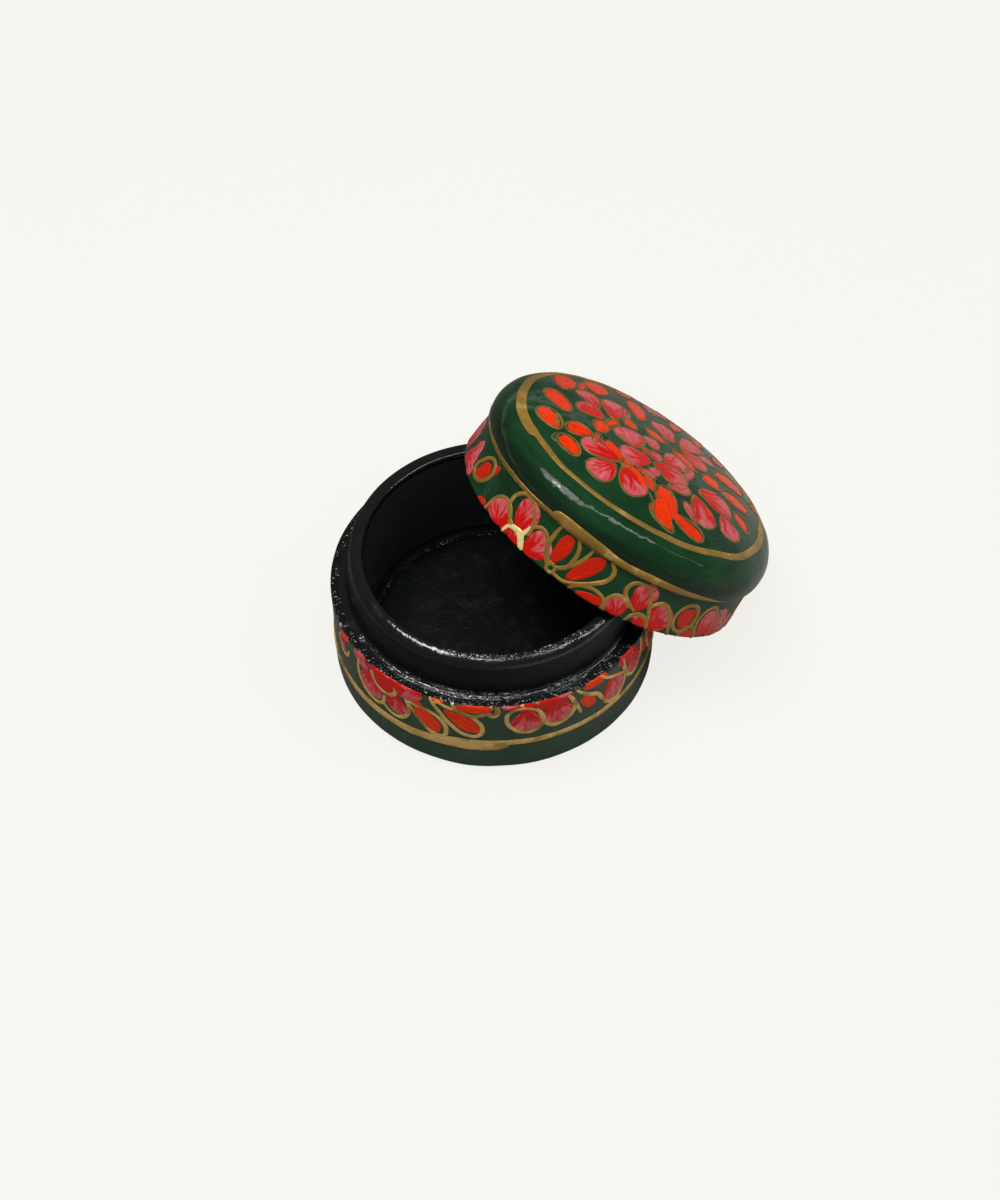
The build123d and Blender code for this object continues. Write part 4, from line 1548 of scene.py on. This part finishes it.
class BOX_OT_collar(bpy.types.Operator):
    """Turns the black collar that stands out of the cup"""
    bl_idname = "papier_box.collar"
    bl_label = "Collar"

    def execute(self, context):
        cup = cup_sizes()
        cove_top = cup.disc_top + cup.cove
        toe = cup.foot_bore - cup.cove
        hidden, beside = cup.bore + 1.5 * cup.bead, cup.disc_radius + 0.05 * MM
        cove = arc((toe, cove_top), cup.cove, start=-88, end=0, steps=8)
        wall = softened([
            (cup.foot_bore, cove_top, 0), (cup.mouth_radius, cup.collar_top, cup.mouth_round),
            (cup.lip_radius, cup.collar_top, cup.lip_round),
            (cup.bore - 0.02 * MM, cup.ledge + 0.1 * MM, cup.bead),
            (hidden, cup.ledge + 0.05 * MM, 0), (hidden, cup.ledge - 0.1 * MM, 0),
            (cup.bore, cup.ledge - 0.1 * MM, 0), (cup.bore, cup.floor, 0),
            (beside, cup.floor, 0), (beside, cup.disc_top - 0.1 * MM, 0), (toe, cup.disc_top, 0),
        ], span=0.5 * MM)
        piece = turned("collar", wall + cove[1:])
        self.wear_lip(piece, cup)

        def share(place, normal):
            radius = from_axis(place)
            if radius > cup.bore - 0.3 * MM or place.z < cup.disc_top - 0.1 * MM:
                return 0.0
            return 0.35 if outward(place, normal) > 0.3 * radius else 0.9

        made_uneven(piece, share)
        coat(piece, "collar_black", "inside_black", "lip_black", "seam_black", "toe_black")
        for face in piece.data.polygons:
            radius, z = from_axis(face.center), face.center.z
            if z > cup.collar_top - 1.4 * MM:
                face.material_index = 2
            elif radius < cup.foot_bore + 0.4 * MM:
                low = z < cup.disc_top + 0.12 * MM
                face.material_index = 4 if low else int(z > cup.disc_top + 1.3 * MM)
            elif cup.ledge - MM < z < cup.ledge + MM:
                face.material_index = 3
        finished(piece, "base", "black_lacquer", "base_collar")
        return {"FINISHED"}

    def wear_lip(self, piece, cup):
        """Rounds the lip down outwards where the lid wore it, on the side away from the lid."""
        worn_side, full, none = (math.radians(angle) for angle in LIP_WORN)
        for v in piece.data.vertices:
            out = (from_axis(v.co) - cup.lip_crest) / (cup.lip_radius - cup.lip_crest)
            up = (v.co.z - cup.collar_top + LIP_WORN_DEPTH) / LIP_WORN_DEPTH
            if out > 0 and up > 0:
                off = abs(math.remainder(math.atan2(v.co.y, v.co.x) - worn_side, math.tau))
                here = max(0, min(1, (none - off) / (none - full)))
                here *= here * (3 - 2 * here)
                v.co.z -= cup.lip_wear * min(1, out)**2 * min(1, 1.6 * up) * here
        piece.data.update()


class BOX_OT_floor_card(bpy.types.Operator):
    """Cuts the black card on the floor of the cup"""
    bl_idname = "papier_box.floor_card"
    bl_label = "Floor Card"

    def execute(self, context):
        cup = cup_sizes()
        outline = softened([
            (0, cup.floor, 0), (cup.disc_radius, cup.floor, 0.1 * MM),
            (cup.disc_radius, cup.disc_top, 0.25 * MM), (0, cup.disc_top, 0),
        ], span=1.2 * MM)
        piece = turned("floor_card", outline)
        made_uneven(piece, lambda place, normal: 0.8 if normal.z > 0.5 else 0.0)
        coat(piece, "card_black")
        finished(piece, "base", "black_card", "floor_disc")
        return {"FINISHED"}


class BOX_OT_lid_band(bpy.types.Operator):
    """Turns the side of the lid and leans it on the collar"""
    bl_idname = "papier_box.lid_band"
    bl_label = "Lid Band"

    def execute(self, context):
        lid = lid_sizes()
        inside = divided([
            (lid.bore + BAND_TOP_JOIN, lid.band_height), (lid.bore, lid.band_height),
            (lid.bore, BAND_EDGE), (lid.bore + BAND_EDGE, 0), (lid.bore + RIM_JOIN, 0),
        ], span=1.2 * MM)
        piece = turned("lid_side", band_side() + inside[1:])
        middle = (lid.bore + lid.rim_radius) / 2
        made_uneven(piece, lambda place, normal: 1.0 if from_axis(place) > middle else 0.25)
        coat(piece, "lid_green", "lid_black")
        for face in piece.data.polygons:
            inner = from_axis(face.center) < middle
            face.material_index = int(inner or face.normal.z < -0.75)
        piece.data.transform(lid_place())
        finished(piece, "lid", "band_lacquer", "lid_band")
        return {"FINISHED"}


class BOX_OT_lid_crown(bpy.types.Operator):
    """Turns the domed top of the lid and leans it with the band"""
    bl_idname = "papier_box.lid_crown"
    bl_label = "Lid Crown"

    def execute(self, context):
        lid = lid_sizes()
        outside = crown_side()
        lining = list(reversed(crown_side(lid.crown_wall)))
        foot = divided([lining[-1], (lining[-1][0], lid.band_height), outside[0]], span=MM)
        piece = turned("lid_crown_shell", outside + lining + foot[1:])

        def share(place, normal):
            if place.z < lid.band_height + 0.05 * MM:
                return 0.0
            return 1.0 if outward(place, normal) > 0 or normal.z > 0.2 else 0.5

        made_uneven(piece, share)
        coat(piece, "lid_green", "lid_black")
        for face in piece.data.polygons:
            inner = outward(face.center, face.normal) < 0
            face.material_index = int(inner and face.normal.z < 0.3)
        piece.data.transform(lid_place())
        finished(piece, "lid", "crown_lacquer", "lid_crown")
        return {"FINISHED"}


class BOX_OT_gold_lines(bpy.types.Operator):
    """Draws the gold lines that go right round the crown, the lid's side and the cup"""
    bl_idname = "papier_box.gold_lines"
    bl_label = "Gold Lines"

    def execute(self, context):
        ring = [(*on_arc((0, 0), radius, angle), wide) for angle, radius, wide in CROWN_RING]
        piece = lines("crown_ring", Dome(), [(True, ring)], "lid_gold")
        finished(piece, "lid", "crown_lacquer")
        piece = lines("joint_line", band_wall(), [(False, BAND_JOINT_LINE)], "lid_gold")
        finished(piece, "lid", "band_lacquer")
        piece = lines("cup_line", cup_wall(), [(False, CUP_LINE)], "cup_gold")
        finished(piece, "base", "cup_lacquer")
        return {"FINISHED"}


class BOX_OT_crown_flowers(bpy.types.Operator):
    """Paints the flowers on the crown and outlines them"""
    bl_idname = "papier_box.crown_flowers"
    bl_label = "Crown Flowers"

    def execute(self, context):
        dome = Dome()
        fuller = [
            (x, y, 1.06 * long, 1.13 * wide, direction, tone)
            for x, y, long, wide, direction, tone in CROWN_PETALS
        ]
        strokes = loops_round(CROWN_PETALS, gap=0.14, taper=0.42, seed=13)
        strokes += loops_round(CROWN_DABS, gap=0.26, taper=0.2, seed=15) + CROWN_LINES
        for piece in (
            dabs("crown_petals", dome, fuller, "lid_petals", 11, taper=0.42, lift=PETAL_LIFT),
            dabs("crown_dabs", dome, CROWN_DABS, "lid_orange", 12, ragged=0.14),
            dabs("crown_touches", dome, CROWN_TOUCHES, "lid_orange", 14, lift=TOUCH_LIFT,
                 ragged=0.14),
            lines("crown_outlines", dome, strokes, "fine_gold"),
        ):
            finished(piece, "lid", "crown_lacquer")
        return {"FINISHED"}


class BOX_OT_band_flowers(bpy.types.Operator):
    """Paints the flowers round the side of the lid and outlines them"""
    bl_idname = "papier_box.band_flowers"
    bl_label = "Lid Side Flowers"

    def execute(self, context):
        wall = band_wall()
        petals, singles, strokes = with_rest(BAND_PETALS, BAND_DABS, BAND_LINES, BAND_REST, 21)
        for piece in (
            dabs("side_petals", wall, petals, "lid_petals", 22, taper=0.38, lift=PETAL_LIFT),
            dabs("side_dabs", wall, singles, "side_orange", 23),
            lines("side_outlines", wall, strokes, "lid_gold"),
            lines("side_heart", wall, BAND_HEART, "heart_gold"),
        ):
            finished(piece, "lid", "band_lacquer")
        return {"FINISHED"}


class BOX_OT_cup_flowers(bpy.types.Operator):
    """Paints the flowers round the cup and outlines them"""
    bl_idname = "papier_box.cup_flowers"
    bl_label = "Cup Flowers"

    def execute(self, context):
        wall = cup_wall()
        petals, singles, strokes = with_rest(CUP_PETALS, CUP_DABS, CUP_LINES, CUP_REST, 31)
        for piece in (
            dabs("cup_petals", wall, petals, "cup_petals", 32, taper=0.38, lift=PETAL_LIFT),
            dabs("cup_dabs", wall, singles, "cup_orange", 33),
            lines("cup_outlines", wall, strokes, "cup_gold"),
        ):
            finished(piece, "base", "cup_lacquer")
        return {"FINISHED"}


STEPS = [
    BOX_OT_camera, BOX_OT_finishes, BOX_OT_studio, BOX_OT_cup, BOX_OT_collar, BOX_OT_floor_card,
    BOX_OT_lid_band, BOX_OT_lid_crown, BOX_OT_gold_lines, BOX_OT_crown_flowers,
    BOX_OT_band_flowers, BOX_OT_cup_flowers,
]
GROUPS = {
    "box_cup": CupSizes, "box_lid": LidSizes, "box_paint": PaintSizes,
    "box_colours": PaintColours,
}


class BOX_PT_panel(bpy.types.Panel):
    """Lists the steps, sizes and colours of the box"""
    bl_idname = "BOX_PT_panel"
    bl_label = "Papier Mache Box"
    bl_space_type = "VIEW_3D"
    bl_region_type = "UI"
    bl_category = "Papier Mache"

    def draw(self, context):
        layout = self.layout
        for step in STEPS:
            layout.operator(step.bl_idname)
        for name, kind in GROUPS.items():
            box = layout.box()
            box.label(text=kind.__doc__.rstrip("."))
            for size in kind.__annotations__:
                box.prop(getattr(context.scene, name), size)


def register():
    for kind in [*GROUPS.values(), *STEPS, BOX_PT_panel]:
        bpy.utils.register_class(kind)
    for name, kind in GROUPS.items():
        setattr(bpy.types.Scene, name, bpy.props.PointerProperty(type=kind))


def unregister():
    for name in GROUPS:
        delattr(bpy.types.Scene, name)
    for kind in reversed([*GROUPS.values(), *STEPS, BOX_PT_panel]):
        bpy.utils.unregister_class(kind)


def main():
    """Makes the box step by step."""
    register()
    bpy.context.scene.view_settings.view_transform = "Standard"
    bpy.ops.object.select_all(action="DESELECT")
    for step in STEPS:
        group_name, operator = step.bl_idname.split(".")
        getattr(getattr(bpy.ops, group_name), operator)()


if __name__ == "__main__":
    main()
